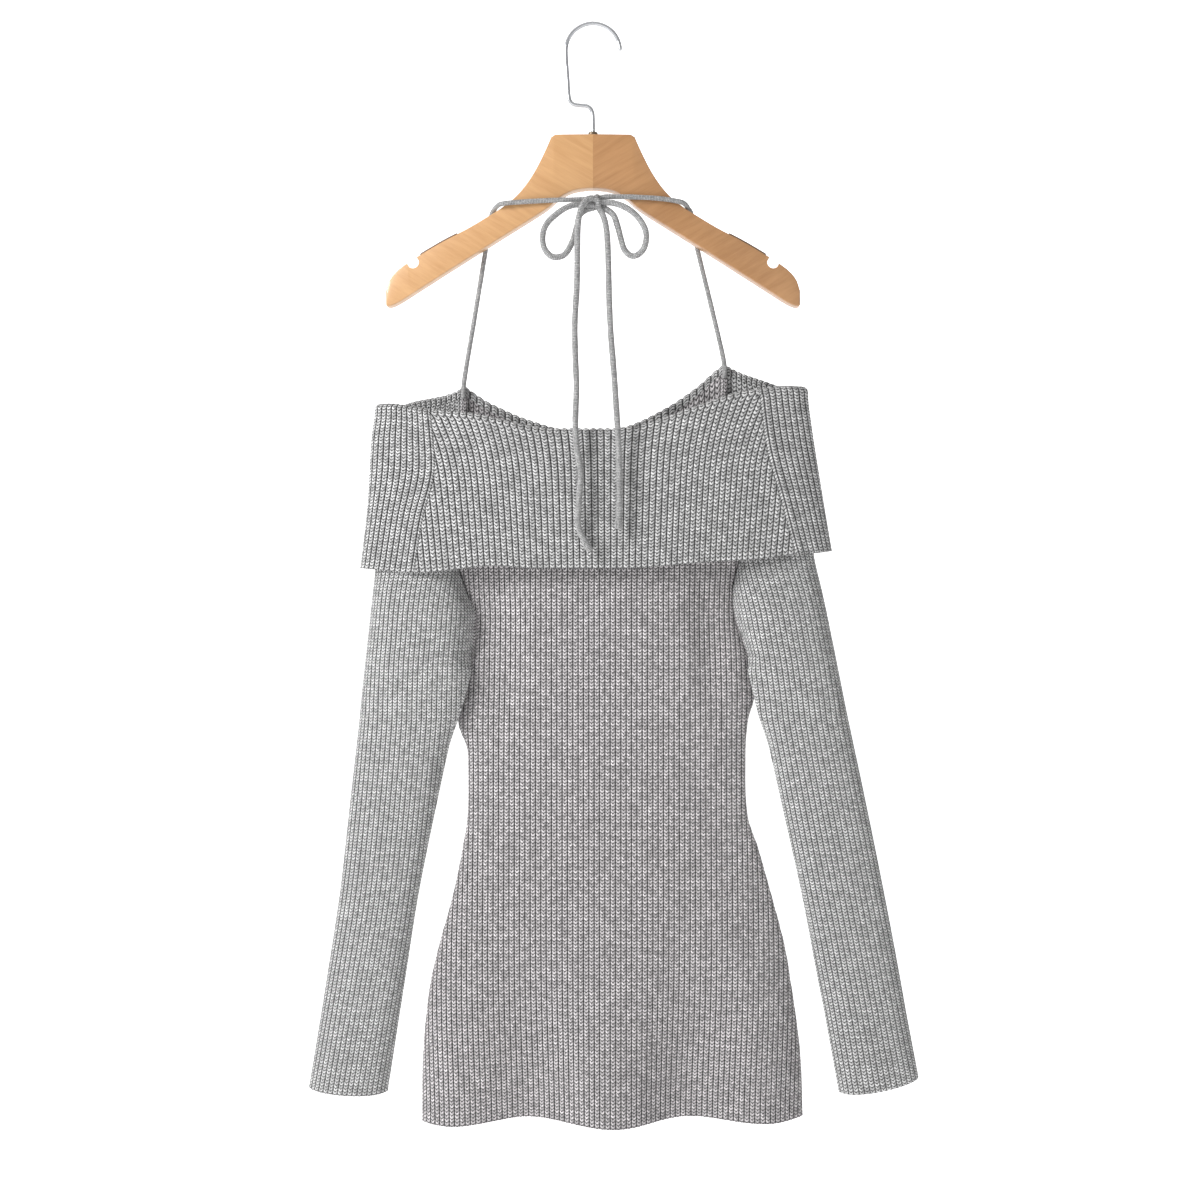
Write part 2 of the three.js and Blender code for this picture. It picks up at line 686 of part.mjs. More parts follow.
// A sleeve's line at one height: from its back edge round its outer fold to its front edge.
function sleeveLine(section, back, front, turn) {
  const layer = (edge, y) => {
    const across = (share) => lerp(edge.x, section.outer, share);
    return [
      new THREE.Vector2(across(0.09), lerp(edge.y, y, 0.62)),
      new THREE.Vector2(across(0.24), lerp(edge.y, y, 0.93)),
      new THREE.Vector2(across(0.52), y),
      new THREE.Vector2(across(0.8), lerp(section.fold, y, 0.84)),
      new THREE.Vector2(across(0.94), lerp(section.fold, y, 0.52)),
    ];
  };
  const points = [
    back,
    ...layer(back, section.near),
    new THREE.Vector2(section.outer, section.fold),
    ...layer(front, section.far).reverse(),
    front,
  ];
  const curve = new THREE.SplineCurve(points);
  return new Line(curve.getPoints(260), turn);
}

// One sleeve, from the neck to the cuff, sewn along its underarm. Its solid is parted at the elbow,
// so that from every place inside a straight way leads out of the solid around it.
function sleeveSolids(table, side) {
  const left = side === "left";
  const turn = left ? -1 : 1;
  const rise = left ? CUFF.leftRise : CUFF.rightRise;
  const away = left ? -SEAM_GAP / 2 : SEAM_GAP / 2;
  const upper = [];
  const lower = [];
  const addRow = (rows, line, section, ribbed, height) =>
    rows.push(
      wallRow({
        line,
        from: SEAM_GAP / 2,
        to: line.length - SEAM_GAP / 2,
        origin: section ? line.reaching(section.outer) : line.length / 2,
        rib: SLEEVE_RIB,
        ribbed,
        neck: section === null,
        height,
      }),
    );
  const lengths = ringLengths(baseRing, COLLAR_SEAMS[0]);
  const neck = left
    ? new Line(ringPart(baseRing, lengths.frontLeft, lengths.whole + lengths.backLeft).points.reverse(), turn)
    : ringPart(baseRing, lengths.backRight, lengths.frontRight);
  addRow(upper, neck, null, false, (p) => lipHeight(p) - NECK_GAP);
  const sectionAt = (drop) =>
    Object.fromEntries(
      ["outer", "near", "far", "fold"].map((column) => [column, smooth(table, "drop", column, drop)]),
    );
  for (const drop of RAGLAN_ROWS) {
    const section = sectionAt(drop);
    const seams = raglanAt(drop);
    const back = new THREE.Vector2((left ? seams.backLeft : seams.backRight) + away, seams.backY);
    const front = new THREE.Vector2((left ? seams.frontLeft : seams.frontRight) + away, seams.frontY);
    addRow(upper, sleeveLine(section, back, front, turn), section, drop >= RIBS_FROM, () => -drop);
  }
  const tube = table.filter((row) => row.inner !== undefined && row.drop !== 640);
  const cuff = tube[tube.length - 1];
  for (const row of tube) {
    const section = sectionAt(row.drop);
    const seamY = lerp(section.fold, 9.7, clamp((640 - row.drop) / 36, 0, 1));
    const back = new THREE.Vector2(row.inner, seamY - SEAM_GAP / 2);
    const front = new THREE.Vector2(row.inner, seamY + SEAM_GAP / 2);
    const line = sleeveLine(section, back, front, turn);
    const height = ({ x }) => {
      const across = clamp((x - cuff.inner) / (cuff.outer - cuff.inner), 0, 1);
      return -cuff.drop + rise * (across - 0.5) - CUFF.bow * (1 - (2 * across - 1) ** 2);
    };
    const parted = row.drop === ELBOW ? SEAM_GAP / 2 : 0;
    if (row.drop <= ELBOW) addRow(upper, line, section, true, () => -row.drop + parted);
    if (row.drop >= ELBOW) addRow(lower, line, section, true, row === cuff ? height : () => -row.drop - parted);
  }
  return [wallSolid(upper), wallSolid(lower)];
}

// The collar's ring at one row. The rows of the lip and of the fold come before the shares.
function collarRing(row) {
  const stand = { lip: FOLD_STAND + WALL, inner: FOLD_STAND + WALL, crest: (FOLD_STAND + WALL) / 2 };
  if (row in stand) return neckRing(stand[row]);
  const { left, right, back, front } = collarAt(row);
  return ringLine(left, right, back, front);
}

function collarHeight(row) {
  const under = { lip: LIP, inner: 3.4, crest: 0 };
  if (row in under) return (p) => -neckDrop(p) - under[row];
  return (p) => {
    const hem = p.y < SIDE_Y ? COLLAR_HEM_BACK : COLLAR_HEM_FRONT;
    return -lerp(neckDrop(p), smooth(hem, "x", "drop", clamp(p.x, -225, 231)), row);
  };
}

// One of the collar's four panels: "back", "front", or a shoulder at its "left" or "right" end.
function collarPanel(panel) {
  const rows = [];
  for (const row of ["lip", "inner", "crest", ...COLLAR_ROWS]) {
    const ring = collarRing(row);
    const share = typeof row === "string" ? 0 : row;
    const seams = Object.fromEntries(
      ["backLeft", "backRight", "frontLeft", "frontRight"].map((column) => [
        column,
        smooth(COLLAR_SEAMS, "share", column, share),
      ]),
    );
    const l = ringLengths(ring, seams);
    const parts = {
      back: { from: l.backLeft, to: l.backRight, origin: ring.reaching(14) },
      right: { from: l.backRight, to: l.frontRight, origin: l.rightEnd },
      front: { from: l.frontRight, to: l.frontLeft, origin: (l.frontRight + l.frontLeft) / 2 },
      left: { from: l.frontLeft, to: l.whole + l.backLeft, origin: l.whole },
    };
    const { from, to, origin } = parts[panel];
    const inward = row === "lip" || row === "inner"; // these rows face into the neck
    const line = ringPart(ring, from, to);
    const height = collarHeight(row);
    const lower = row === "crest" ? COLLAR_WALL : 0;
    const made = wallRow({
      line,
      from: SEAM_GAP / 2,
      to: line.length - SEAM_GAP / 2,
      origin: origin - from,
      rib: lerp(COLLAR_RIB.top, COLLAR_RIB.hem, share),
      ribbed: !inward,
      neck: inward,
      height,
      wall: row === "crest" ? 0.2 : COLLAR_WALL,
      face: inward ? -1 : 1,
    });
    for (const point of made.inside) point.at.z -= lower;
    rows.push(made);
  }
  return wallSolid(rows);
}

function sweepOf(x) {
  return HANGER_SWEEP.tip * (Math.abs(x) / HANGER_SWEEP.reach) ** HANGER_SWEEP.power;
}

// A bar of rounded rectangular sections in planes of constant x.
function barSolid(sections, thick, rounding, side) {
  const positions = [];
  const triangles = [];
  const cornerSteps = 2;
  const ring = ({ x, top, bottom }) => {
    const high = (bottom - top) / 2;
    const r = Math.min(rounding, high * 0.9, thick * 0.45);
    const points = [];
    for (let quarter = 0; quarter < 4; quarter++)
      for (let step = 0; step <= cornerSteps; step++) {
        const angle = (Math.PI / 2) * (quarter + step / cornerSteps);
        const signY = quarter === 0 || quarter === 3 ? 1 : -1;
        const signZ = quarter < 2 ? 1 : -1;
        points.push([
          side * x,
          sweepOf(x) + signY * (thick / 2 - r) + r * Math.cos(angle),
          -(top + bottom) / 2 + signZ * (high - r) + r * Math.sin(angle),
        ]);
      }
    return points;
  };
  const count = 4 * (cornerSteps + 1);
  sections.forEach((section) => ring(section).forEach((point) => positions.push(...point)));
  for (let s = 1; s < sections.length; s++)
    for (let i = 0; i < count; i++) {
      const next = (i + 1) % count;
      const [a, b] = [(s - 1) * count + i, (s - 1) * count + next];
      const [c, d] = [s * count + i, s * count + next];
      triangles.push(a, c, b, b, c, d);
    }
  const last = (sections.length - 1) * count;
  for (let i = 1; i < count - 1; i++) triangles.push(0, i, i + 1, last, last + i + 1, last + i);
  return solidGeometry(positions, triangles);
}

function toManifold(geometry) {
  const plain = geometry.clone();
  plain.deleteAttribute("normal");
  plain.deleteAttribute("uv");
  const merged = mergeVertices(plain, 1e-4);
  return new wasm.Manifold(
    new wasm.Mesh({
      numProp: 3,
      vertProperties: new Float32Array(merged.attributes.position.array),
      triVerts: new Uint32Array(merged.index.array),
    }),
  );
}

function fromManifold(solid) {
  const { vertProperties, triVerts } = solid.getMesh();
  const geometry = new THREE.BufferGeometry();
  geometry.setAttribute("position", new THREE.BufferAttribute(vertProperties, 3));
  geometry.setIndex(new THREE.BufferAttribute(triVerts, 1));
  return geometry;
}

// One half of the hanger, with the notch in its arm and its share of the hook's hole.
function hangerHalf(side) {
  const bar = toManifold(barSolid(HANGER_HALF, HANGER_THICK, HANGER_EDGE, side));
  const notch = new THREE.CylinderGeometry(NOTCH.radius, NOTCH.radius, 4 * HANGER_THICK, 16);
  notch.translate(side * NOTCH.x, sweepOf(NOTCH.x), -NOTCH.drop);
  const top = HANGER_HALF[0].top;
  const hole = new THREE.CylinderGeometry(SHANK_HOLE.radius, SHANK_HOLE.radius, 2 * SHANK_HOLE.depth, 12);
  hole.rotateX(Math.PI / 2).translate(0, 0, -top);
  return fromManifold(bar.subtract(toManifold(notch)).subtract(toManifold(hole)));
}

// The thin ribbed strip on top of an arm, which keeps a strap from slipping off.
function gripStrip(side) {
  const sections = [GRIP.from, (GRIP.from + GRIP.to) / 2, GRIP.to].map((x) => {
    const seat = armTop(x) - SEAM_GAP;
    return { x, top: seat - GRIP.thick, bottom: seat };
  });
  return barSolid(sections, GRIP.wide, 0.4, side);
}

// The arm's top at x, on the straight edges between its sections.
function armTop(x) {
  const i = HANGER_HALF.findIndex((section) => section.x > x);
  const [a, b] = [HANGER_HALF[i - 1], HANGER_HALF[i]];
  return lerp(a.top, b.top, (x - a.x) / (b.x - a.x));
}

function sweptRound(points, wide, sides, steps) {
  const curve = new THREE.CatmullRomCurve3(points, false, "centripetal");
  const section = new THREE.Shape();
  const radius = wide / 2 / Math.cos(Math.PI / sides);
  for (let i = 0; i < sides; i++) {
    const angle = (2 * Math.PI * (i + 0.5)) / sides;
    const [x, y] = [radius * Math.cos(angle), radius * Math.sin(angle)];
    if (i === 0) section.moveTo(x, y);
    else section.lineTo(x, y);
  }
  return new THREE.ExtrudeGeometry(section, { steps, bevelEnabled: false, extrudePath: curve });
}

function cord(route, wide, steps) {
  return sweptRound(
    route.map((p) => new THREE.Vector3(...p)),
    wide,
    CORD_SIDES,
    steps,
  );
}

function hookWire() {
  const points = [];
  const centre = -WIRE / 2 + CROWN_RADIUS;
  const steps = 12;
  for (let i = 0; i <= steps; i++) {
    const angle = (Math.PI * i) / steps;
    points.push(new THREE.Vector3(CROWN_RADIUS * Math.cos(angle), 0, -centre + CROWN_RADIUS * Math.sin(angle)));
  }
  for (const { x, drop } of SHANK) points.push(new THREE.Vector3(x, 0, -drop));
  return sweptRound(points, WIRE, 8, 44);
}

function ferrule() {
  const { radius, high, bore } = FERRULE;
  const seat = HANGER_HALF[0].top - SEAM_GAP;
  const profile = [
    [bore, 0],
    [radius, 0],
    [radius, high * 0.55],
    [radius * 0.78, high],
    [bore, high],
    [bore, 0],
  ].map(([r, z]) => new THREE.Vector2(r, z));
  const ring = new THREE.LatheGeometry(profile, 16);
  return ring.rotateX(Math.PI / 2).translate(0, 0, -seat);
}

// The knot: the wrap of cord that holds the bow, as one rounded block between the cords' ends.
function knotBlock() {
  const { wide, deep, high } = KNOT;
  const block = new THREE.SphereGeometry(0.5, 12, 8);
  const square = (v) => Math.sign(v) * Math.abs(2 * v) ** 0.55;
  const position = block.attributes.position;
  for (let i = 0; i < position.count; i++)
    position.setXYZ(
      i,
      (square(position.getX(i)) * wide) / 2,
      (square(position.getZ(i)) * deep) / 2,
      (square(position.getY(i)) * high) / 2,
    );
  block.deleteAttribute("normal");
  block.deleteAttribute("uv");
  const merged = mergeVertices(block, 1e-3);
  const made = solidGeometry([...merged.attributes.position.array], [...merged.index.array]);
  return made.translate(KNOT.x, KNOT.y, -KNOT.drop);
}

const material = (color, roughness, metalness = 0) =>
  new THREE.MeshStandardMaterial({ color, roughness, metalness });
const knit = material(COLOURS.knit, 0.92);
const cordKnit = material(COLOURS.cord, 0.9);
const birch = material(COLOURS.birch, 0.38);
const wire = material(COLOURS.wire, 0.18, 1);
const brass = material(COLOURS.ferrule, 0.4, 0.8);
const rubber = material(COLOURS.grip, 0.7);

const dress = new THREE.Group();
const add = (name, geometry, finish) => {
  const mesh = new THREE.Mesh(geometry, finish);
  mesh.name = name;
  dress.add(mesh);
};

add("body_back", bodyPanel("back"), knit);
add("body_front", bodyPanel("front"), knit);
for (const [side, table] of [["left", LEFT_SLEEVE], ["right", RIGHT_SLEEVE]]) {
  const [upper, lower] = sleeveSolids(table, side);
  add(`upper_sleeve_${side}`, upper, knit);
  add(`lower_sleeve_${side}`, lower, knit);
}
for (const panel of ["back", "front", "left", "right"]) add(`collar_${panel}`, collarPanel(panel), knit);
add("strap_left", cord(STRAP_LEFT, STRAP_WIDE, 22), cordKnit);
add("strap_right", cord(STRAP_RIGHT, STRAP_WIDE, 22), cordKnit);
add("bow_loop_left", cord(LOOP_LEFT, CORD_WIDE, 20), cordKnit);
add("bow_loop_right", cord(LOOP_RIGHT, CORD_WIDE, 20), cordKnit);
add("tail_left", cord(TAIL_LEFT, CORD_WIDE, 24), cordKnit);
add("tail_right", cord(TAIL_RIGHT, CORD_WIDE, 20), cordKnit);
add("knot", knotBlock(), cordKnit);
add("hanger_left", hangerHalf(-1), birch);
add("hanger_right", hangerHalf(1), birch);
add("grip_left", gripStrip(-1), rubber);
add("grip_right", gripStrip(1), rubber);
add("hook", hookWire(), wire);
add("ferrule", ferrule(), brass);

export default dress;
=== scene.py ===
# A rib-knit sweater dress with a turned-down collar, hung by the bow of its halter cords from a
# wooden hanger. Tables are in millimetres in the frame's own axes, and MM turns them to metres
# when a mesh is made. "Drop" is how far a place lies below the frame's origin.
import math

import bpy
import numpy as np
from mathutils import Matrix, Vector


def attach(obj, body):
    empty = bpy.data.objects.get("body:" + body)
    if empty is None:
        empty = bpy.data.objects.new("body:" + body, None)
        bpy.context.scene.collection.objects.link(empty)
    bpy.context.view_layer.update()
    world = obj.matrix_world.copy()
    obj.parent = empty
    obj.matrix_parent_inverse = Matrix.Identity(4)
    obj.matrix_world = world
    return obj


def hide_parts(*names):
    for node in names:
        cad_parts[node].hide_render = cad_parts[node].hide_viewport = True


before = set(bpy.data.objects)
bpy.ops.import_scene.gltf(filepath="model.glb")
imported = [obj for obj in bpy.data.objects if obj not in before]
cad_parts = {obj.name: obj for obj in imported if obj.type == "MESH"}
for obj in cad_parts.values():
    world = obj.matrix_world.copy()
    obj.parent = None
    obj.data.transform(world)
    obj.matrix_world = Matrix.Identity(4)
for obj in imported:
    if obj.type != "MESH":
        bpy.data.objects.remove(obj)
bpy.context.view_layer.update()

MM = 0.001
SAMPLES = 481
# A side's direction, in x or in y
WAY = {"left": -1, "right": 1, "back": -1, "front": 1}


# Tables and lines


class Table:
    """Rows of sizes under named columns, the first of which is the key."""

    def __init__(self, columns, *rows):
        names = columns.split()
        self.key = np.array([row[0] for row in rows], float)
        self.values = {n: np.array([row[i] for row in rows], float) for i, n in enumerate(names)}

    def at(self, column, where):
        """A column's value at a place of the key, on a smooth curve through the rows."""
        key, value = self.key, self.values[column]
        steps = np.diff(value) / np.diff(key)
        slope = np.zeros(len(key))
        slope[0], slope[-1] = steps[0], steps[-1]
        same_way = steps[:-1] * steps[1:] > 0
        slope[1:-1] = np.where(same_way, (value[2:] - value[:-2]) / (key[2:] - key[:-2]), 0)
        where = np.clip(where, key[0], key[-1])
        i = np.clip(np.searchsorted(key, where, side="right") - 1, 0, len(key) - 2)
        span = key[i + 1] - key[i]
        t = (where - key[i]) / span
        return (
            value[i] * (1 + 2 * t) * (1 - t) ** 2
            + slope[i] * span * t * (1 - t) ** 2
            + value[i + 1] * t * t * (3 - 2 * t)
            - slope[i + 1] * span * t * t * (1 - t)
        )

    def row(self, place, *columns):
        return [self.at(column, place) for column in columns]


def smoothstep(low, high, value):
    t = np.clip((value - low) / (high - low), 0, 1)
    return t * t * (3 - 2 * t)


def lengths_along(points):
    steps = np.linalg.norm(np.diff(points, axis=0), axis=1)
    return np.r_[0, np.cumsum(steps)]


def resampled(where, along, values):
    return np.stack([np.interp(where, along, column) for column in values.T], axis=1)


class Line:
    """A line across a piece of cloth, measured along its level run.

    Its inner side is on the left of its direction when turn is 1, on the right when it is -1.
    """

    def __init__(self, points, turn):
        self.points = np.asarray(points, float)
        self.turn = turn
        self.along = lengths_along(self.points[:, :2])
        tangent = np.gradient(self.points[:, :2], self.along, axis=0)
        self.tangent = tangent / np.linalg.norm(tangent, axis=1, keepdims=True)

    @property
    def length(self):
        return self.along[-1]

    def at(self, where, inset):
        """Points at lengths along the line, each moved in by its inset."""
        p = resampled(where, self.along, self.points)
        t = resampled(where, self.along, self.tangent)
        p[:, 0] -= t[:, 1] * self.turn * inset
        p[:, 1] += t[:, 0] * self.turn * inset
        return p

    def reaching(self, x):
        """The length at which the line first reaches x."""
        side = np.sign(self.points[:, 0] - x)
        i = int(np.argmax(side[1:] != side[:-1]))
        a, b = self.points[i, 0], self.points[i + 1, 0]
        return float(self.along[i] + (x - a) / (b - a) * (self.along[i + 1] - self.along[i]))

    def part(self, start, end):
        """The stretch between two lengths, which may run over a ring's closing point."""
        where = np.linspace(start, end, SAMPLES) % self.length
        return Line(self.at(where, 0), self.turn)

    def back_to_front(self):
        return Line(self.points[::-1], -self.turn)

    def blended(self, other, share):
        return Line(self.points * (1 - share) + other.points * share, self.turn)


def catmull(points, count):
    """A smooth curve through points, with count points of its own."""
    p = np.asarray(points, float)
    p = np.vstack([p[0], p, p[-1]])
    t = np.linspace(0, len(p) - 3, count)
    i = np.minimum(t.astype(int), len(p) - 4)
    t = (t - i)[:, None]
    a, b, c, d = p[i], p[i + 1], p[i + 2], p[i + 3]
    return 0.5 * (
        2 * b + (c - a) * t + (2 * a - 5 * b + 4 * c - d) * t**2 + (3 * b - a - 3 * c + d) * t**3
    )


# Sizes of the cloth

# Relief is how deep the furrows are, and a stitch is one course high
WALL = 2.9
RELIEF = {"body": 1.25, "sleeve": 1.05, "collar": 1.6}
RIB = {"body": 5.1, "sleeve_left": 4.7, "sleeve_right": 5.2}
STITCH = {"body": 3.2, "sleeve": 2.9, "collar": 3.0}
SEAM = 0.08
SIDE_Y = 10
CENTRE_WALE = 14
RAGLAN_END = 566
UNDERARM = 604
UPPER_END = 436

BODY = Table(
    "drop left right back front",
    (604, -116, 147.9, 19, 19), (640, -124.8, 156.5, 18, 19), (668, -130.3, 149.6, 17, 18),
    (700, -120.6, 147.2, 16, 17), (757, -121, 149, 16, 17), (790, -126.2, 159.5, 17, 18),
    (832, -134.6, 171.4, 18, 19), (880, -147.8, 184.2, 20, 20), (920, -157.2, 191.2, 21, 21),
    (985, -164, 199.8, 23, 22), (1050, -165.2, 202.4, 24, 23),
)
RAGLANS = Table(
    "drop back_left back_right front_left front_right back_y front_y",
    (436, -146, 151, -124, 130, -3.5, 21), (505, -133, 142, -121.5, 135, 3, 22),
    (545, -121.2, 134.2, -119, 139, 9, 22), (566, -113, 136.4, -117, 142, 10.5, 21),
    (604, -116.3, 148.2, -116.3, 148.2, 9.7, 10.3),
)
UPPER_BODY = {"back": -10.5, "front": 30}

SLEEVES = {
    "left": Table(
        "drop outer near far fold",
        (436, -205.5, -7, 24, 9), (505, -208.5, -11, 24, 8), (545, -212.5, -16, 23, 7),
        (566, -214.7, -18, 22, 6), (604, -218.6, -18, 20, 5), (640, -222.4, -15, 19, 5),
        (668, -225, -12, 18, 5), (740, -233.2, -8, 17, 5), (832, -243.6, -7, 17, 5),
        (917, -256.6, -8, 18, 5), (1021, -273.3, -10, 20, 5),
    ),
    "right": Table(
        "drop outer near far fold",
        (436, 206, -7, 24, 9), (505, 212.5, -10, 24, 8), (545, 221.4, -14, 23, 7),
        (566, 225.8, -16, 22, 6), (604, 233.3, -16, 20, 5), (640, 240.4, -14, 19, 5),
        (668, 246.1, -11, 18, 5), (740, 261.4, -8, 17, 5), (832, 280, -7, 17, 5),
        (917, 296, -8, 18, 5), (1017, 313.2, -10, 20, 5),
    ),
}
UNDERARMS = {
    "left": Table(
        "drop inner",
        (604, -116.6), (640, -125.4), (668, -132.6), (740, -148.4), (832, -167), (917, -180.4),
        (1021, -196.9),
    ),
    "right": Table(
        "drop inner",
        (604, 148.5), (640, 157.1), (668, 163.2), (740, 179.3), (832, 199.8), (917, 216),
        (1017, 236.1),
    ),
}
CUFF_RISE = {"left": 4, "right": 14.5}
CUFF_BOW = 3
# Below the underarm a sleeve laps over the side of the body: fully between two drops, then less
LAP_WIDE = 4.5
LAP_HIGH = 12
LAP_FULL = (622, 652)
LAP_GONE = 695

NECK_BACK = Table(
    "x drop",
    (-210, 362), (-190, 362.6), (-154, 368.5), (-110, 373), (-70, 382.5), (-38, 387), (20, 387),
    (50, 382.5), (88, 369), (133, 353.5), (160, 348.5), (188, 345.2), (208, 345.5),
)
PEAK_LEFT = -125.4
PEAK_RIGHT = 127.2
NECK_FRONT_LEFT = Table(
    "x drop", (-210, 362), (-190, 362.6), (-174, 358), (-148, 352.5), (-133, 347.5), (-125.4, 342)
)
NECK_FRONT = Table(
    "x drop",
    (-125.4, 342), (-116, 349), (-100, 359), (-60, 376), (-15, 386), (30, 382), (70, 364),
    (100, 344), (117, 329), (127.2, 321),
)
NECK_FRONT_RIGHT = Table("x drop", (127.2, 321), (142, 329), (165, 337.5), (188, 345.2), (208, 345.5) )

COLLAR_WALL = 2.6
FOLD_RADIUS = 5
LIP = 9
COLLAR = Table(
    "share left right back front",
    (0, -210.5, 207.5, -13.5, 32), (0.03, -210.5, 207.5, -13.5, 32), (0.22, -214, 210.5, -17, 35),
    (0.6, -217.5, 220, -20.5, 39), (1, -224.6, 230.4, -25, 43),
)
COLLAR_RIB = Table("share pitch", (0, 6.9), (0.25, 6.35), (0.6, 6.05), (1, 5.8))
COLLAR_HEM_BACK = Table(
    "x drop",
    (-225, 520.5), (-167, 525.3), (-91, 518.8), (-55, 521), (28, 521), (108, 515.2), (156, 512.5),
    (203, 506.5), (231, 504),
)
COLLAR_HEM_FRONT = Table(
    "x drop", (-225, 520.5), (-140, 525), (-40, 521), (60, 523), (150, 513), (231, 504)
)
COLLAR_SEAMS = Table(
    "share back_left back_right front_left front_right",
    (0, -155.5, 159, -125.4, 127.2), (0.35, -150.5, 166, -127, 133), (0.68, -162, 180, -134, 142),
    (1, -170, 193.5, -146, 155),
)

# Soft folds as x, depth, half width, the drop where they are deepest, and their reach from there
FOLDS = {
    "back": (
        (-141, -9, 46, 1060, 210), (-62, 12, 52, 1060, 240), (19, -10, 52, 1060, 200),
        (93, 12, 54, 1060, 250), (170, -8, 44, 1060, 190), (-90, 8, 34, 600, 120),
        (114, 7, 26, 580, 105),
    ),
    "front": (
        (-118, 8, 50, 1060, 220), (-30, -11, 56, 1060, 250), (58, 9, 50, 1060, 200),
        (140, -10, 52, 1060, 230), (-80, -6, 30, 590, 100), (104, -6, 28, 590, 100),
    ),
}
HEMS = {
    "back": Table(
        "x drop",
        (-166, 1052), (-140, 1053), (-62, 1046), (19, 1052), (93, 1045.5), (170, 1050), (203, 1047),
    ),
    "front": Table(
        "x drop", (-166, 1052), (-118, 1047), (-30, 1054), (58, 1048), (140, 1051), (203, 1047)
    ),
}
HEM = 1050

# Where a rib has its columns, in ribs from its crest, and how deep each lies, of its relief
RIB_COLUMNS = np.array([(-0.5, 1), (-0.37, 0.3), (-0.2, 0.04), (0, 0), (0.2, 0.04), (0.37, 0.3)])
SPARE_RIBS = 12
EDGE_CLEAR = 0.08
EDGE_DEPTH = 0.5
INNER_EVERY = 9
RIDGE_FROM_EDGE = 4.5
RIDGE_SPREAD = 3.2


# The knitted wall


def fold_depth(side, x, drop):
    """How far the soft folds of a panel move it in y."""
    depth = np.zeros_like(x)
    for fold_x, deep, half, fold_drop, reach in FOLDS[side]:
        across = np.clip(np.abs(x - fold_x) / half, 0, 1)
        along = min(abs(drop - fold_drop) / reach, 1)
        depth += deep * np.cos(across * math.pi / 2) ** 2 * math.cos(along * math.pi / 2) ** 2
    return depth


class Wall:
    """A knitted panel: closed walls between an outside with ribs and a plain inside."""

    def __init__(self, wall, relief, stitch):
        self.wall, self.relief, self.stitch = wall, relief, stitch
        self.points, self.uvs, self.outside, self.inside = [], [], [], []
        self.count = 0
        self.widths, self.lengths = [], []

    def add_points(self, keys, points, course):
        first = self.count
        self.points.append(points)
        self.uvs.append(np.c_[keys, np.full(len(keys), course)])
        self.count += len(keys)
        return keys, np.arange(first, self.count)

    def row(self, line, origin, rib, down, fade=1.0, face=(1, 0), lean=None, ridges=(0, 0)):
        """One row of both sides. Face is how much of the way in is level and how much is down."""
        start, end = SEAM / 2, line.length - SEAM / 2
        place = lean or (lambda key: origin + key * rib)
        first = math.floor((start - origin) / rib) - SPARE_RIBS
        whole = np.arange(first, (end - origin) / rib + SPARE_RIBS)
        keys = np.add.outer(whole, RIB_COLUMNS[:, 0]).ravel()
        depth = np.tile(RIB_COLUMNS[:, 1], len(whole))
        where = place(keys)
        kept = (where > start + EDGE_CLEAR * rib) & (where < end - EDGE_CLEAR * rib)
        keys, depth, where = keys[kept], depth[kept], where[kept]
        step = keys[1] - keys[0]
        keys = np.r_[keys[0] - step, keys, keys[-1] + step]
        depth = np.r_[EDGE_DEPTH, depth, EDGE_DEPTH] * self.relief * fade
        where = np.r_[start, where, end]
        for end_at, high in zip((start, end), ridges):
            from_ridge = (np.abs(where - end_at) - RIDGE_FROM_EDGE) / RIDGE_SPREAD
            depth -= high * np.exp(-(from_ridge**2))
        outer = line.at(where, face[0] * depth)
        outer[:, 2] -= face[1] * depth
        every = np.unique(np.r_[0 : len(keys) : INNER_EVERY, len(keys) - 1])
        deep = np.full(len(every), self.wall)
        inner = line.at(where[every], face[0] * deep)
        inner[:, 2] -= face[1] * deep
        course = down / self.stitch
        self.outside.append(self.add_points(keys, outer, course))
        self.inside.append(self.add_points(keys[every], inner, course))
        self.widths.append(line.length)
        self.lengths.append(down)

    def made(self, name):
        faces = []
        for side, flip in ((self.outside, False), (self.inside, True)):
            for upper, lower in zip(side, side[1:]):
                join_rows(upper, lower, flip, faces)
        join_rows(self.outside[0], self.inside[0], True, faces)
        join_rows(self.outside[-1], self.inside[-1], False, faces)
        for end, turn in ((0, -1), (-1, 1)):
            for r in range(1, len(self.outside)):
                a, b = self.outside[r - 1][1][end], self.outside[r][1][end]
                c, d = self.inside[r][1][end], self.inside[r - 1][1][end]
                faces.append((a, b, c, d)[::turn])
        points = np.concatenate(self.points) * MM
        return mesh_piece(name, points, faces, np.concatenate(self.uvs))

    def cut(self):
        """The width, length and area of the flat piece."""
        down = np.abs(np.diff(self.lengths))
        mean = (np.array(self.widths[1:]) + np.array(self.widths[:-1])) / 2
        area = float(np.sum(mean * down)) * MM * MM
        return (max(self.widths) * MM, float(np.sum(down)) * MM), area


def join_rows(upper, lower, flip, faces):
    """Faces between two rows of keyed points, each step going on where the next key is nearer."""
    (upper_keys, a), (lower_keys, b) = upper, lower
    i = j = 0
    while i < len(a) - 1 or j < len(b) - 1:
        next_upper = upper_keys[i + 1] if i < len(a) - 1 else math.inf
        next_lower = lower_keys[j + 1] if j < len(b) - 1 else math.inf
        if abs(next_upper - next_lower) < 1e-6:
            face = (a[i], b[j], b[j + 1], a[i + 1])
            i, j = i + 1, j + 1
        elif next_upper < next_lower:
            face = (a[i], b[j], a[i + 1])
            i += 1
        else:
            face = (a[i], b[j], b[j + 1])
            j += 1
        faces.append(face[::-1] if flip else face)


def new_object(name, data):
    piece = bpy.data.objects.new(name, data)
    bpy.context.scene.collection.objects.link(piece)
    return piece


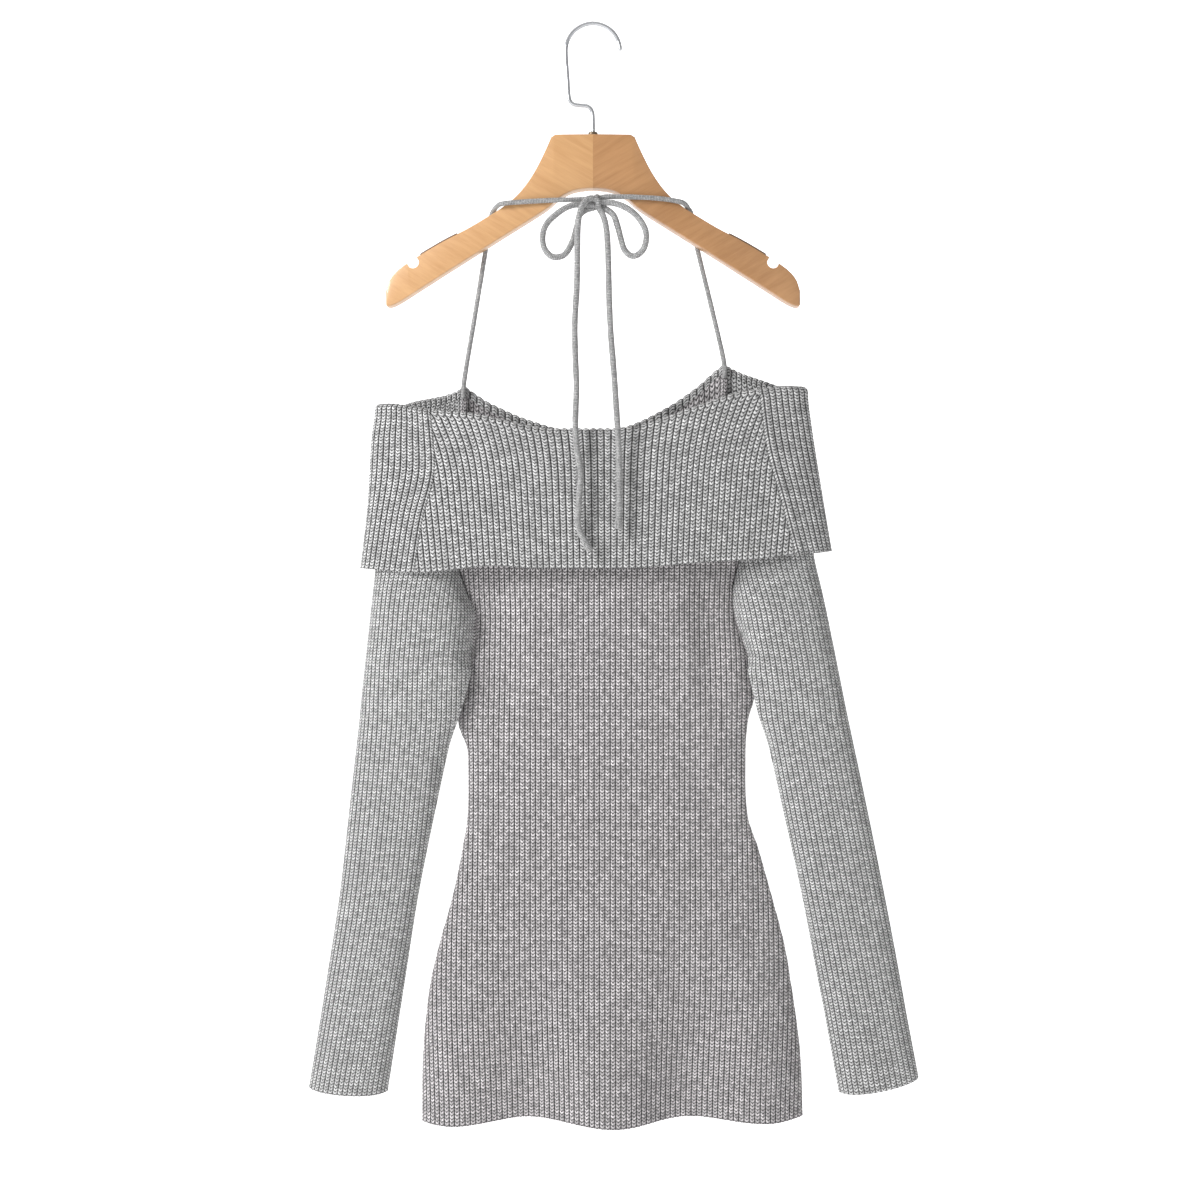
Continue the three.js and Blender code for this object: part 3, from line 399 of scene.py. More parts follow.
def mesh_piece(name, points, faces, uvs):
    """A mesh object of these faces, turned outwards, with a UV for each point."""
    points = np.asarray(points)
    corners = np.array([(f[0], f[i - 1], f[i]) for f in faces for i in range(2, len(f))])
    a, b, c = points[corners.T]
    if np.sum(a * np.cross(b, c)) < 0:
        faces = [f[::-1] for f in faces]
    mesh = bpy.data.meshes.new(name)
    mesh.from_pydata(points.tolist(), [], [tuple(int(i) for i in f) for f in faces])
    corner = np.empty(len(mesh.loops), int)
    mesh.loops.foreach_get("vertex_index", corner)
    layer = mesh.uv_layers.new(name="UVMap")
    layer.data.foreach_set("uv", uvs[corner].ravel())
    mesh.validate()
    piece = new_object(name, mesh)
    smooth(piece, angle=70)
    return piece


def only(piece):
    bpy.ops.object.select_all(action="DESELECT")
    piece.select_set(True)
    bpy.context.view_layer.objects.active = piece


def smooth(piece, angle):
    only(piece)
    bpy.ops.object.shade_smooth_by_angle(angle=math.radians(angle))


def dress(piece, node, material):
    """The piece takes the place of a node, rides on the body and wears its finish."""
    piece.data.materials.append(material)
    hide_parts(*([node] if isinstance(node, str) else node))
    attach(piece, "root")
    return piece


# Shader nodes


class Finish:
    """One material and its nodes. A value is a number or another node's output."""

    def __init__(self, name, **constants):
        self.material = bpy.data.materials.new(name)
        self.material.use_nodes = True
        self.tree = self.material.node_tree
        self.shader = self.tree.nodes["Principled BSDF"]
        for socket, value in constants.items():
            self.shader.inputs[socket.replace("_", " ").title()].default_value = value

    def node(self, kind, inputs=(), **settings):
        node = self.tree.nodes.new(kind)
        for key, value in settings.items():
            setattr(node, key, value)
        for socket, value in dict(inputs).items():
            self.join(value, node.inputs[socket])
        return node

    def join(self, value, socket):
        if isinstance(value, bpy.types.NodeSocket):
            self.tree.links.new(value, socket)
        else:
            socket.default_value = value

    def math(self, operation, *values):
        node = self.node("ShaderNodeMath", enumerate(values), operation=operation)
        return node.outputs[0]

    def spread(self, value, low, high, out_low=0.0, out_high=1.0):
        """A value's share of the way from low to high, eased at both ends."""
        inputs = {0: value, 1: low, 2: high, 3: out_low, 4: out_high}
        node = self.node("ShaderNodeMapRange", inputs, interpolation_type="SMOOTHSTEP")
        return node.outputs[0]

    def noise(self, vector, scale, detail=2.0, roughness=0.5, stretch=(1, 1, 1)):
        placed = self.node("ShaderNodeMapping", {0: vector, 3: stretch}).outputs[0]
        inputs = {"Vector": placed, "Scale": scale, "Detail": detail, "Roughness": roughness}
        return self.node("ShaderNodeTexNoise", inputs).outputs[0]

    def mix(self, share, first, second):
        """Two colours mixed. The node's colour sockets come after those for numbers and vectors."""
        inputs = {0: share, 6: first, 7: second}
        return self.node("ShaderNodeMix", inputs, data_type="RGBA").outputs[2]

    def total(self, *parts):
        """The sum of values, each times its weight."""
        return self.chain("ADD", *(self.product(*part) for part in parts))

    def product(self, *values):
        return self.chain("MULTIPLY", *values)

    def chain(self, operation, result, *values):
        for value in values:
            result = self.math(operation, result, value)
        return result

    def rest(self, *values):
        """What is left of the first value without the others."""
        return self.chain("SUBTRACT", *values)

    def object_place(self):
        return self.node("ShaderNodeTexCoord").outputs["Object"]

    def bump(self, height, strength, distance):
        inputs = {"Strength": strength, "Distance": distance, "Height": height}
        node = self.node("ShaderNodeBump", inputs)
        self.join(node.outputs[0], self.shader.inputs["Normal"])

    def colour(self, value):
        self.join(value, self.shader.inputs["Base Color"])


# A stitch's parts: where they begin and end, as shares of a course or of a rib's width
STITCH_GAP = (0.22, 0.44)
STITCH_EYE = (0.08, 0.2)
RIB_VALLEY = (0.33, 0.47)
# Painted shade: the share of the wool's colour left in the gaps between courses, and the near-black colour
# painted into those gaps, the stitches' eyes and the ribs' furrows
GAP_SHADE = 0.28
DEEP_SHADE = (0.02, 0.019, 0.02, 1)
# How much each yarn, its fibres and larger spots tell in the melange, and the noises' scales
YARN_SHARE = 0.12
FIBRE_SHARE = 0.75
MOTTLE_SHARE = 0.2
FIBRE_SCALE = 1300.0
MOTTLE_SCALE = 260.0
MELANGE_RANGE = (0.38, 0.8)
# Heights for the bump, of a stitch's own
FIBRE_HIGH = 0.4
EYE_DEEP = 0.9
VALLEY_DEEP = 0.8


def knit_finish(name, dark, light, furrow, hole, slope=1.3, depth=0.0006):
    """Knitted wool blend: u counts ribs and v counts courses of V-shaped stitches. Painted shade darkens
    its rib furrows, stitch eyes and gaps between courses.
    """
    f = Finish(name, roughness=0.92, sheen_weight=0.25, sheen_roughness=0.55)
    uv = f.node("ShaderNodeSeparateXYZ", {0: f.node("ShaderNodeUVMap").outputs[0]})
    u, v = uv.outputs[0], uv.outputs[1]
    across = f.rest(f.math("FRACT", f.math("ADD", u, 0.5)), 0.5)
    away = f.math("ABSOLUTE", across)
    course = f.math("ADD", v, f.product(away, slope))
    from_middle = f.math("ABSOLUTE", f.rest(f.math("FRACT", course), 0.5))
    ridge = f.rest(1.0, f.math("POWER", f.product(from_middle, 2.0), 2.0))
    gap = f.spread(from_middle, *STITCH_GAP)
    eye = f.product(f.spread(away, *STITCH_EYE, 1.0, 0.0), gap)
    valley = f.spread(away, *RIB_VALLEY)
    cell = f.node("ShaderNodeCombineXYZ", {0: f.math("FLOOR", u), 1: f.math("FLOOR", course)})
    yarn = f.node("ShaderNodeTexWhiteNoise", {"Vector": cell.outputs[0]}).outputs["Value"]
    place = f.object_place()
    fibre = f.noise(place, FIBRE_SCALE, detail=3.0, roughness=0.7)
    mottle = f.noise(place, MOTTLE_SCALE, detail=3.0, roughness=0.6)
    melange = f.total((yarn, YARN_SHARE), (fibre, FIBRE_SHARE), (mottle, MOTTLE_SHARE))
    wool = f.mix(f.spread(melange, *MELANGE_RANGE), dark, light)
    # Painted shade: the gaps between courses, the stitches' eyes and the ribs' furrows are darkened
    # towards DEEP_SHADE
    gap_shade = f.spread(gap, 0.0, 1.0, 1.0, GAP_SHADE)
    shade = f.product(f.rest(1.0, f.product(eye, hole)), f.rest(1.0, f.product(valley, furrow)), gap_shade)
    f.colour(f.mix(shade, DEEP_SHADE, wool))
    raised = f.math("ADD", ridge, f.product(fibre, FIBRE_HIGH))
    sunk = f.total((eye, EYE_DEEP), (valley, VALLEY_DEEP))
    f.bump(f.rest(raised, sunk), strength=1.0, distance=depth)
    return f.material


# Noise scales are per metre. A stretch below 1 draws the wood's grain out along the arm.
LONG_GRAIN = dict(scale=26.0, detail=5.0, roughness=0.62, stretch=(0.55, 5.0, 7.0))
FINE_GRAIN = dict(scale=160.0, detail=4.0, roughness=0.7, stretch=(0.1, 4.0, 6.0))
CLOUD_SCALE = 14.0
FIGURE_WEIGHTS = (0.6, 0.25, 0.3)
FIGURE_RANGE = (0.36, 0.86)
LACQUER_ROUGH = (0.3, 0.8, 0.36, 0.5)
MARKS_SCALE = 420.0
WORN = (0.3, 0.75)
RUBBER_SCALE = 900.0


def shaded(colour, times):
    return (*(times * c for c in colour[:3]), 1)


def wood_finish(name, pale, dark, lean):
    """Lacquered birch with its grain along an arm."""
    f = Finish(name, coat_weight=0.55, coat_roughness=0.14)
    place = f.object_place()
    turned = f.node("ShaderNodeMapping", {0: place, 2: (0, math.radians(lean), 0)}).outputs[0]
    long_grain = f.noise(turned, **LONG_GRAIN)
    fine = f.noise(turned, **FINE_GRAIN)
    figure = f.total(*zip((long_grain, fine, f.noise(place, CLOUD_SCALE)), FIGURE_WEIGHTS))
    f.colour(f.mix(f.spread(figure, *FIGURE_RANGE), pale, dark))
    f.join(f.spread(fine, *LACQUER_ROUGH), f.shader.inputs["Roughness"])
    f.bump(fine, strength=0.08, distance=0.0003)
    return f.material


def metal_finish(name, colour, rough):
    """Bright drawn wire with faint marks of handling."""
    f = Finish(name, metallic=0.6)
    marks = f.noise(f.object_place(), MARKS_SCALE, detail=4.0, roughness=0.6)
    f.colour(f.mix(marks, colour, shaded(colour, times=0.8)))
    f.join(f.spread(marks, *WORN, rough, rough * 2), f.shader.inputs["Roughness"])
    f.bump(marks, strength=0.04, distance=0.0001)
    return f.material


def rubber_finish(name, colour):
    f = Finish(name, roughness=0.7)
    grain = f.noise(f.object_place(), RUBBER_SCALE, 3.0)
    f.colour(f.mix(grain, colour, shaded(colour, times=1.6)))
    f.bump(grain, strength=0.2, distance=0.0002)
    return f.material


BLUE_OF_WARM = 0.4


def grey(value, warm=0.0):
    """A grey, or one that warm turns a little to red and less to blue."""
    return (value * (1 + warm), value, value * (1 + warm * BLUE_OF_WARM), 1)


# After the two greys: how far painted shade darkens the ribs' furrows and the stitches' eyes
COLLAR_KNIT = knit_finish("heather_collar", grey(0.27), grey(0.98), 0.97, 0.97)
BODY_KNIT = knit_finish("heather_body", grey(0.26, 0.05), grey(0.95, 0.05), 0.96, 0.97)
SLEEVE_KNIT = knit_finish("heather_sleeve", grey(0.31), grey(0.98), 0.82, 0.94)
CORD_KNIT = knit_finish("heather_cord", grey(0.24), grey(0.76), 0.45, 0.4, 0.9, 0.00015)
# One birch in two copies: the left half's is painted lighter as painted light and the right half's darker
# as painted shade, from a key light on the left
BIRCH_LIT_LEFT = wood_finish("birch_lit_left", (0.56, 0.325, 0.15, 1), (0.43, 0.225, 0.09, 1), -31)
BIRCH_SHADED_RIGHT = wood_finish("birch_shaded_right", (0.45, 0.24, 0.105, 1), (0.33, 0.16, 0.062, 1), 31)
CHROME = metal_finish("polished_wire", (0.50, 0.51, 0.53, 1), 0.14)
DARK_BRASS = metal_finish("dark_ferrule", (0.20, 0.15, 0.10, 1), 0.3)
GRIP_RUBBER = rubber_finish("grip_rubber", (0.10, 0.055, 0.035, 1))


# Camera, light and stage

CAMERA_X = 6.7
CAMERA_DROP = 551
CAMERA_AWAY = 1600
FRAME_WIDTH = 1156.6
MIDDLE_Y = 8
# Metres and watts: each lamp's place, the two sides of its face, and its power
LAMPS = {
    "key_light": ((-1.75, -1.15, 0.45), (0.7, 0.9), 56),
    "fill_light": ((1.5, -1.9, 0.3), (1.4, 1.6), 2.5),
    "top_light": ((0, -0.3, 1.4), (1.6, 1.0), 6),
}
LIT_PLACE = (0, 0, -0.6)


def camera():
    data = bpy.data.cameras.new("camera")
    data.sensor_width = 36
    data.lens = data.sensor_width * CAMERA_AWAY / FRAME_WIDTH
    data.clip_end = 100
    eye = new_object("camera", data)
    eye.location = Vector((CAMERA_X, MIDDLE_Y - CAMERA_AWAY, -CAMERA_DROP)) * MM
    eye.rotation_euler = (math.radians(90), 0, 0)
    bpy.context.scene.camera = eye


def soft_light(name, place, size, power):
    data = bpy.data.lights.new(name, "AREA")
    data.shape = "RECTANGLE"
    data.size, data.size_y = size
    data.energy = power
    lamp = new_object(name, data)
    lamp.location = place
    lamp.rotation_euler = (Vector(LIT_PLACE) - Vector(place)).to_track_quat("-Z", "Y").to_euler()


def studio():
    for name, lamp in LAMPS.items():
        soft_light(name, *lamp)
    world = bpy.data.worlds.new("studio")
    world.use_nodes = True
    background = world.node_tree.nodes["Background"].inputs
    background["Color"].default_value = (1, 1, 1, 1)
    background["Strength"].default_value = 0.24
    bpy.context.scene.world = world
    bpy.context.scene.view_settings.view_transform = "Standard"
    stage_plane("floor", place=(0, 0, -1.22), tilt=0, glow=0.75)
    stage_plane("backdrop", place=(0, 30, 0), tilt=90, glow=1.0)


def stage_plane(name, place, tilt, glow):
    """A wide plain sheet that gives off some light of its own, as lit paper does."""
    turn = (math.radians(tilt), 0, 0)
    bpy.ops.mesh.primitive_plane_add(size=70, location=place, rotation=turn)
    sheet = bpy.context.object
    sheet.name = name
    pale = Finish(f"pale_{name}", roughness=0.9, base_color=(0.9, 0.9, 0.9, 1),
                  emission_color=(1, 1, 1, 1), emission_strength=glow)
    sheet.data.materials.append(pale.material)


camera()
studio()


# Halter cords

STRAP_WIDE = 4.6
CORD_WIDE = 5.8
STRAP_LEFT = (
    (-125.4, 17, -356), (-124.8, 17, -338), (-114.5, 17.8, -275), (-103.2, 18.2, -206),
    (-99.8, 18.7, -188), (-98.4, 16.9, -177.8), (-95.8, 8, -175.8), (-92.3, -0.8, -173.9),
    (-86, -5.9, -172.2), (-66, -7.2, -170.8), (-40, -8.8, -169.8), (-18, -9.8, -169.4),
    (-3.2, -10.2, -169.2),
)
STRAP_RIGHT = (
    (127.2, 17, -336), (126.4, 17, -318), (114.5, 17.8, -266), (100, 18, -206),
    (96.6, 17.8, -188), (94.8, 16, -176.4), (92, 7.6, -174.2), (88.2, -1.2, -171.7),
    (82, -5.8, -170.2), (64, -7.4, -167.8), (42, -8.8, -166.8), (24, -9.6, -166.6),
    (12.2, -10.2, -166.8),
)
KNOT_LEFT_IN = ((4, -9.8, -170), (7.4, -10, -172.4), (3.2, -11.2, -174.4))
KNOT_RIGHT_IN = ((5.2, -9.8, -168.6), (1.6, -10.2, -170.8), (5.4, -11.4, -172.4))
LOOP_LEFT = (
    (-3.4, -11.6, -174.6), (-12, -13, -174.8), (-22, -14, -176.6), (-33, -14.6, -183),
    (-43.8, -14.8, -193.4), (-47.8, -14.4, -204.6), (-46.6, -13.6, -215.6), (-40.6, -13, -223.4),
    (-33.2, -12.6, -224.8), (-25.8, -12.2, -221), (-19.4, -11.8, -209.4), (-15.4, -11.2, -195),
    (-12.6, -10.4, -184.4), (-6.2, -7.2, -178.4),
)
LOOP_RIGHT = (
    (12.4, -11.6, -172.6), (20, -13, -173.6), (30.4, -14, -177.6), (40.6, -14.6, -185),
    (48.2, -14.8, -195.6), (50.8, -14.4, -205.6), (48.4, -13.8, -216.6), (42, -13.2, -223),
    (35.6, -12.8, -223.2), (29.6, -12.4, -217), (26.2, -12, -205.6), (23.2, -11.6, -194.4),
    (19.4, -11.2, -184.4), (12, -9.4, -178.2),
)
KNOT_LEFT_OUT = ((1, -7.2, -176.2), (5.4, -10, -172.6), (1.6, -14.6, -169.8))
KNOT_RIGHT_OUT = ((6, -8.6, -176.4), (3.4, -9.8, -174.2), (4.6, -11.4, -176.6))
TAIL_LEFT = (
    (-4.4, -18, -170.6), (-9.4, -19.8, -176.2), (-12.6, -20.6, -185), (-14.4, -20.6, -199),
    (-14.8, -20.2, -222), (-15.2, -19.6, -252), (-17.2, -19.2, -290), (-16.6, -19.8, -322),
    (-15.6, -21, -350), (-16.6, -23.6, -384), (-15.2, -25.6, -408), (-11.6, -27, -430),
    (-13, -28.4, -456), (-14, -29.6, -480), (-8.6, -30.4, -494), (-2.4, -31, -505),
)
TAIL_RIGHT = (
    (7, -12.8, -180.6), (9.8, -14.6, -186.4), (12.4, -16.4, -196.6), (14, -17.6, -214),
    (14.8, -18.4, -240), (15.4, -19, -268), (17, -19.4, -300), (19.6, -20.2, -332),
    (21.4, -21.6, -358), (23.4, -24.6, -390), (24.6, -26.4, -416), (25.2, -27.8, -442),
    (24.8, -29.2, -466), (24.2, -30, -484),
)
CURVE_FINE = 60
CORD_STEP = 1.3
CORD_WALES = 14
CORD_COURSE = 1.5
TAIL_END = 10
TAIL_END_RIBS = 9
TAIL_END_EASE = 1.5
TAIL_END_SWELL = 0.14
TAIL_END_RELIEF = 0.07
# A strap widens to the loose cord's width from before its end to after it
STRAP_EASE = (-12, 20)
# The loose cord's unevenness: a share of its width, and a length over which it sways
UNEVEN = ((0.018, 9.0, 0), (0.014, 3.7, 1))
WRAP_MIDDLE = (4.6, -11.4, -171.8)
WRAP_REACH = (0.9, 4.2, 4.6)
WRAP_PITCH = 1.2
WRAP_LAP = 0.25
WRAP_TIGHT = 0.95


def even_path(points, step):
    """A smooth curve through points, with its own points a step apart."""
    fine = catmull(points, CURVE_FINE * len(points))
    along = lengths_along(fine)
    where = np.linspace(0, along[-1], int(along[-1] / step) + 1)
    return resampled(where, along, fine), where


def carried_frames(path):
    """Two directions square to a path at each of its points, carried along without twist."""
    tangent = np.gradient(path, axis=0)
    tangent /= np.linalg.norm(tangent, axis=1, keepdims=True)
    first = np.cross(tangent[0], (0.0, 1.0, 0.0))
    across = [first / np.linalg.norm(first)]
    for t in tangent[1:]:
        carried = across[-1] - t * np.dot(across[-1], t)
        across.append(carried / np.linalg.norm(carried))
    across = np.array(across)
    return across, np.cross(tangent, across)


def tube(name, path, radii, around, ribs=0, relief=None, wales=CORD_WALES, course=CORD_COURSE):
    """A closed tube along a path. Ribs of a given relief may run along it."""
    across, up = carried_frames(path)
    turn = np.linspace(0, 2 * math.pi, around, endpoint=False)
    swell = np.ones((len(path), around))
    if relief is not None:
        swell += relief[:, None] * np.cos(ribs * turn)[None, :]
    cos, sin = np.cos(turn)[None, :, None], np.sin(turn)[None, :, None]
    spoke = cos * across[:, None] + sin * up[:, None]
    points = path[:, None] + spoke * (radii[:, None] * swell)[:, :, None]
    count = len(path)
    points = np.concatenate([points.reshape(-1, 3), path[:1], path[-1:]])
    start, last = count * around, (count - 1) * around
    faces = []
    for j in range(around):
        k = (j + 1) % around
        faces.append((start, k, j))
        faces += [(i + j, i + k, i + around + k, i + around + j) for i in range(0, last, around)]
        faces.append((start + 1, last + j, last + k))
    along = lengths_along(path)
    u = np.tile(np.arange(around) / around * wales, count)
    v = np.repeat(along / course, around)
    uvs = np.concatenate([np.c_[u, v], [[0, 0], [0, along[-1] / course]]])
    return mesh_piece(name, points * MM, faces, uvs)


def halter_cord(side, laced_with, *stretches):
    """One whole cord, thinner where the dress's weight stretches it, with a ribbed free end."""
    path, along = even_path(sum(stretches, ()), CORD_STEP)
    strap_end = even_path(stretches[0], CORD_STEP)[1][-1]
    loosened = smoothstep(*(strap_end + ease for ease in STRAP_EASE), along)
    radii = (STRAP_WIDE + (CORD_WIDE - STRAP_WIDE) * loosened) / 2
    tail_end = along[-1] - TAIL_END
    end = smoothstep(tail_end, tail_end + TAIL_END_EASE, along)
    soft = 1 + sum(share * np.sin(along / sway + shift) for share, sway, shift in UNEVEN)
    radii = radii * (1 + TAIL_END_SWELL * end) * soft
    relief = TAIL_END_RELIEF * end
    piece = tube(f"cord_{side}", path, radii, around=28, ribs=TAIL_END_RIBS, relief=relief)
    dress(piece, (f"strap_{side}", f"bow_loop_{side}", f"tail_{side}"), CORD_KNIT)


def knot_wrap():
    """The cord's turn round the bow's middle."""
    turn = np.linspace(-WRAP_LAP, 2 * math.pi + WRAP_LAP, 60)
    swing = np.c_[-np.cos(turn), -np.cos(turn), np.sin(turn)]
    wrap = WRAP_MIDDLE + swing * WRAP_REACH
    wrap[:, 0] += WRAP_PITCH * (turn / math.pi - 1)
    radii = np.full(len(wrap), CORD_WIDE / 2 * WRAP_TIGHT)
    piece = tube("knot_wrap", wrap, radii, around=24)
    return dress(piece, "knot", CORD_KNIT)


knot = knot_wrap()
halter_cord("left", [knot], STRAP_LEFT, KNOT_LEFT_IN, LOOP_LEFT, KNOT_LEFT_OUT, TAIL_LEFT)
halter_cord("right", [], STRAP_RIGHT, KNOT_RIGHT_IN, LOOP_RIGHT, KNOT_RIGHT_OUT, TAIL_RIGHT)


# The dress


RING_SAMPLES = 961
# Below 1 these fill out a ring's ends and its back and front, as an ellipse has 1
FULL_X = 0.8
FULL_Y = 0.75
# The panels hang from a ring inside the collar's fold, just under its lip
PANEL_NECK_INSET = 7
PANEL_NECK_UNDER = LIP + 0.6


def ring(left, right, back, front, drops):
    """A level loop, or nearly one, from its left end along the back and round by the front."""
    angle = math.pi + np.linspace(0, 2 * math.pi, RING_SAMPLES)
    c, s = np.cos(angle), np.sin(angle)
    x = (left + right) / 2 + (right - left) / 2 * np.sign(c) * np.abs(c) ** FULL_X
    y = (back + front) / 2 + (front - back) / 2 * np.sign(s) * np.abs(s) ** FULL_Y
    return Line(np.c_[x, y, -drops(x, y)], 1)


def ring_lengths(loop, share):
    """Where a ring's back and front pass the collar's seams, as lengths from its left end."""
    half = len(loop.points) // 2
    back = Line(loop.points[: half + 1], 1)
    front = Line(loop.points[half:], 1)
    lengths = {"right_end": back.length}
    for side in ("left", "right"):
        back_seam, front_seam = COLLAR_SEAMS.row(share, f"back_{side}", f"front_{side}")
        lengths[f"back_{side}"] = back.reaching(back_seam)
        lengths[f"front_{side}"] = back.length + front.reaching(front_seam)
    return lengths


def neck_drop(x, y):
    """The height of the fold's top at a place on the neck."""
    front = np.where(x < PEAK_LEFT, NECK_FRONT_LEFT.at("drop", x), NECK_FRONT.at("drop", x))
    front = np.where(x > PEAK_RIGHT, NECK_FRONT_RIGHT.at("drop", x), front)
    return np.where(y < SIDE_Y, NECK_BACK.at("drop", x), front)


def neck_ring(inset, lower):
    left, right, back, front = COLLAR.row(0, "left", "right", "back", "front")
    sides = left + inset, right - inset, back + inset, front - inset
    return ring(*sides, lambda x, y: neck_drop(x, y) + lower)


def panel_neck():
    """The ring that the panels hang from, and where its seams are."""
    base = neck_ring(PANEL_NECK_INSET, PANEL_NECK_UNDER)
    return base, ring_lengths(base, 0)


PANEL_FLAT = 2.6
# How sharply a panel leaves its edges at the neck and from the underarm down
UPPER_STEEP = 0.8
LOWER_STEEP = 0.42
# How far the panels' middles lie from the side seams at the underarm
UNDERARM_OUT = 19
HEM_REACH = 60


def body_line(side, drop):
    """A body panel at one height, from its left edge to its right one."""
    way = WAY[side]
    if drop <= UNDERARM:
        left, right, edge_y = RAGLANS.row(drop, f"{side}_left", f"{side}_right", f"{side}_y")
        lower = smoothstep(RAGLAN_END, UNDERARM, drop)
        steep = UPPER_STEEP + (LOWER_STEEP - UPPER_STEEP) * lower
        middle = UPPER_BODY[side] + (SIDE_Y + way * UNDERARM_OUT - UPPER_BODY[side]) * lower
    else:
        left, right, out = BODY.row(drop, "left", "right", side)
        edge_y, steep, middle = SIDE_Y + way * SEAM / 2, LOWER_STEEP, SIDE_Y + way * out
    t = -np.cos(np.linspace(0, math.pi, SAMPLES))
    x = left + (right - left) * (t + 1) / 2
    bulge = np.maximum(0, 1 - np.abs(t) ** PANEL_FLAT) ** steep
    y = edge_y + (middle - edge_y) * bulge + fold_depth(side, x, drop) * bulge
    near_hem = max(0, (drop - HEM + HEM_REACH) / HEM_REACH)
    z = -(drop + (HEMS[side].at("drop", x) - HEM) * near_hem)
    return Line(np.c_[x, y, z], -way)


def drops(start, end, step):
    return list(np.linspace(start, end, max(2, round((end - start) / step) + 1)))


UPPER_ROWS = 5
UPPER_FADE = 0.3
# A panel's rows are wide apart under the collar, then close, and closest at its end
WIDE_END = 500
WIDE_STEP = 16
FINE_START = 507
FINE_STEP = 7
EDGE_ROWS = (4.0, 2.0, 0.0)


def hang(wall, neck, line_of, side, origin, rib, start, end, edge):
    """Rows from the neck, whose drop is start, to the first level line and down to the end.

    Edge says what share of a rib's relief is left at the end, and how far above it is whole.
    """
    first = line_of(side, UPPER_END)
    for i in range(UPPER_ROWS):
        line = neck.blended(first, i / UPPER_ROWS)
        down = start + (UPPER_END - start) * i / UPPER_ROWS
        wall.row(line, origin(line), rib, down, UPPER_FADE)
    level = drops(UPPER_END, WIDE_END, WIDE_STEP) + drops(FINE_START, end - FINE_STEP, FINE_STEP)
    low, high = edge
    for drop in level + [end - row for row in EDGE_ROWS]:
        line = line_of(side, drop)
        wall.row(line, origin(line), rib, drop, low + (1 - low) * min(1, (end - drop) / high))
    return wall


def body_panel(side):
    base, lengths = panel_neck()
    if side == "back":
        neck = base.part(lengths["back_left"], lengths["back_right"])
    else:
        neck = base.part(lengths["front_right"], lengths["front_left"]).back_to_front()

    def middle(line):
        return line.reaching(CENTRE_WALE)

    wall = Wall(WALL, RELIEF["body"], STITCH["body"])
    return hang(
        wall, neck, body_line, side, middle, RIB["body"], start=375, end=HEM, edge=(0.45, 5)
    )


# Across a sleeve's layer from its edge: where, and how much of its depth from the edge or the fold
FROM_EDGE = ((0.09, 0.62), (0.24, 0.93), (0.52, 1))
FROM_FOLD = ((0.8, 0.84), (0.94, 0.52))
SLEEVE_TOP_SEAM_Y = 9.7
SEAM_TURN = 36
CUFF_REACH = 70


def sleeve_line(side, drop):
    """A sleeve at one height: from its back edge round its outer fold to its front edge."""
    outer, near, far, fold = SLEEVES[side].row(drop, "outer", "near", "far", "fold")
    way = WAY[side]
    if drop <= UNDERARM:
        back, front = (RAGLANS.row(drop, f"{end}_{side}", f"{end}_y") for end in ("back", "front"))
        back[0] += way * SEAM / 2
        front[0] += way * SEAM / 2
    else:
        begun, ending = LAP_FULL
        lap = smoothstep(UNDERARM, begun, drop) * (1 - smoothstep(ending, LAP_GONE, drop))
        inner = UNDERARMS[side].at("inner", drop) - way * LAP_WIDE * lap
        turned = np.clip((UNDERARM + SEAM_TURN - drop) / SEAM_TURN, 0, 1)
        seam_y = fold + (SLEEVE_TOP_SEAM_Y - fold) * turned - LAP_HIGH * lap
        back, front = (inner, seam_y - SEAM / 2), (inner, seam_y + SEAM / 2)

    def layer(edge, y):
        def across(share):
            return edge[0] + (outer - edge[0]) * share

        inner = [(across(at), edge[1] + (y - edge[1]) * full) for at, full in FROM_EDGE]
        return inner + [(across(at), fold + (y - fold) * full) for at, full in FROM_FOLD]

    points = [back, *layer(back, near), (outer, fold), *layer(front, far)[::-1], front]
    x, y = catmull(points, SAMPLES).T
    across = np.clip((x - back[0]) / (outer - back[0]), 0, 1)
    tilt = CUFF_RISE[side] * (across - 0.5) - CUFF_BOW * (1 - (2 * across - 1) ** 2)
    near_cuff = max(0, (drop - SLEEVES[side].key[-1] + CUFF_REACH) / CUFF_REACH)
    return Line(np.c_[x, y, tilt * near_cuff - drop], way)


def sleeve_panel(side):
    base, lengths = panel_neck()
    if side == "left":
        over = base.length + lengths["back_left"]
        neck = base.part(lengths["front_left"], over).back_to_front()
    else:
        neck = base.part(lengths["back_right"], lengths["front_right"])

    def outermost(line):
        return line.along[np.argmax(np.abs(line.points[:, 0]))]

    wall = Wall(WALL, RELIEF["sleeve"], STITCH["sleeve"])
    rib, end = RIB[f"sleeve_{side}"], SLEEVES[side].key[-1]
    return hang(wall, neck, sleeve_line, side, outermost, rib, start=365, end=end, edge=(0.5, 4))


# The collar's rows: from the lip inside the neck over the fold, then down by shares to its hem

FOLD_ANGLES = (0, 30, 60, 90, 120, 150, 180)
COLLAR_BEND = {"back_left": 4, "back_right": 11, "front_left": 8, "front_right": 8}
SHOULDER_RIB = 5.95
LIP_THICK = 1.6
LIP_FADE = 0.6
HANG_SHARES = (*np.linspace(0.05, 0.965, 24), 0.975, 0.988, 1.0)
HEM_FADE = 0.25
HEM_FADE_SHARE = 0.035
SEAM_RIDGES = {"left": (0, 1.5), "right": (1.5, 0)}
BEND_SHARES = (-0.05, 0.5)
BEND_FROM_MIDDLE = (40, 175)


def collar_rows():
    rows = [("lip", 0.0, LIP - lower, 0.0) for lower in (0.0, LIP_THICK)]
    for angle in np.radians(FOLD_ANGLES):
        rows.append(("fold", angle, FOLD_RADIUS * (1 - math.sin(angle)), 0))
    return rows + [("hang", math.pi, 0, share) for share in HANG_SHARES]


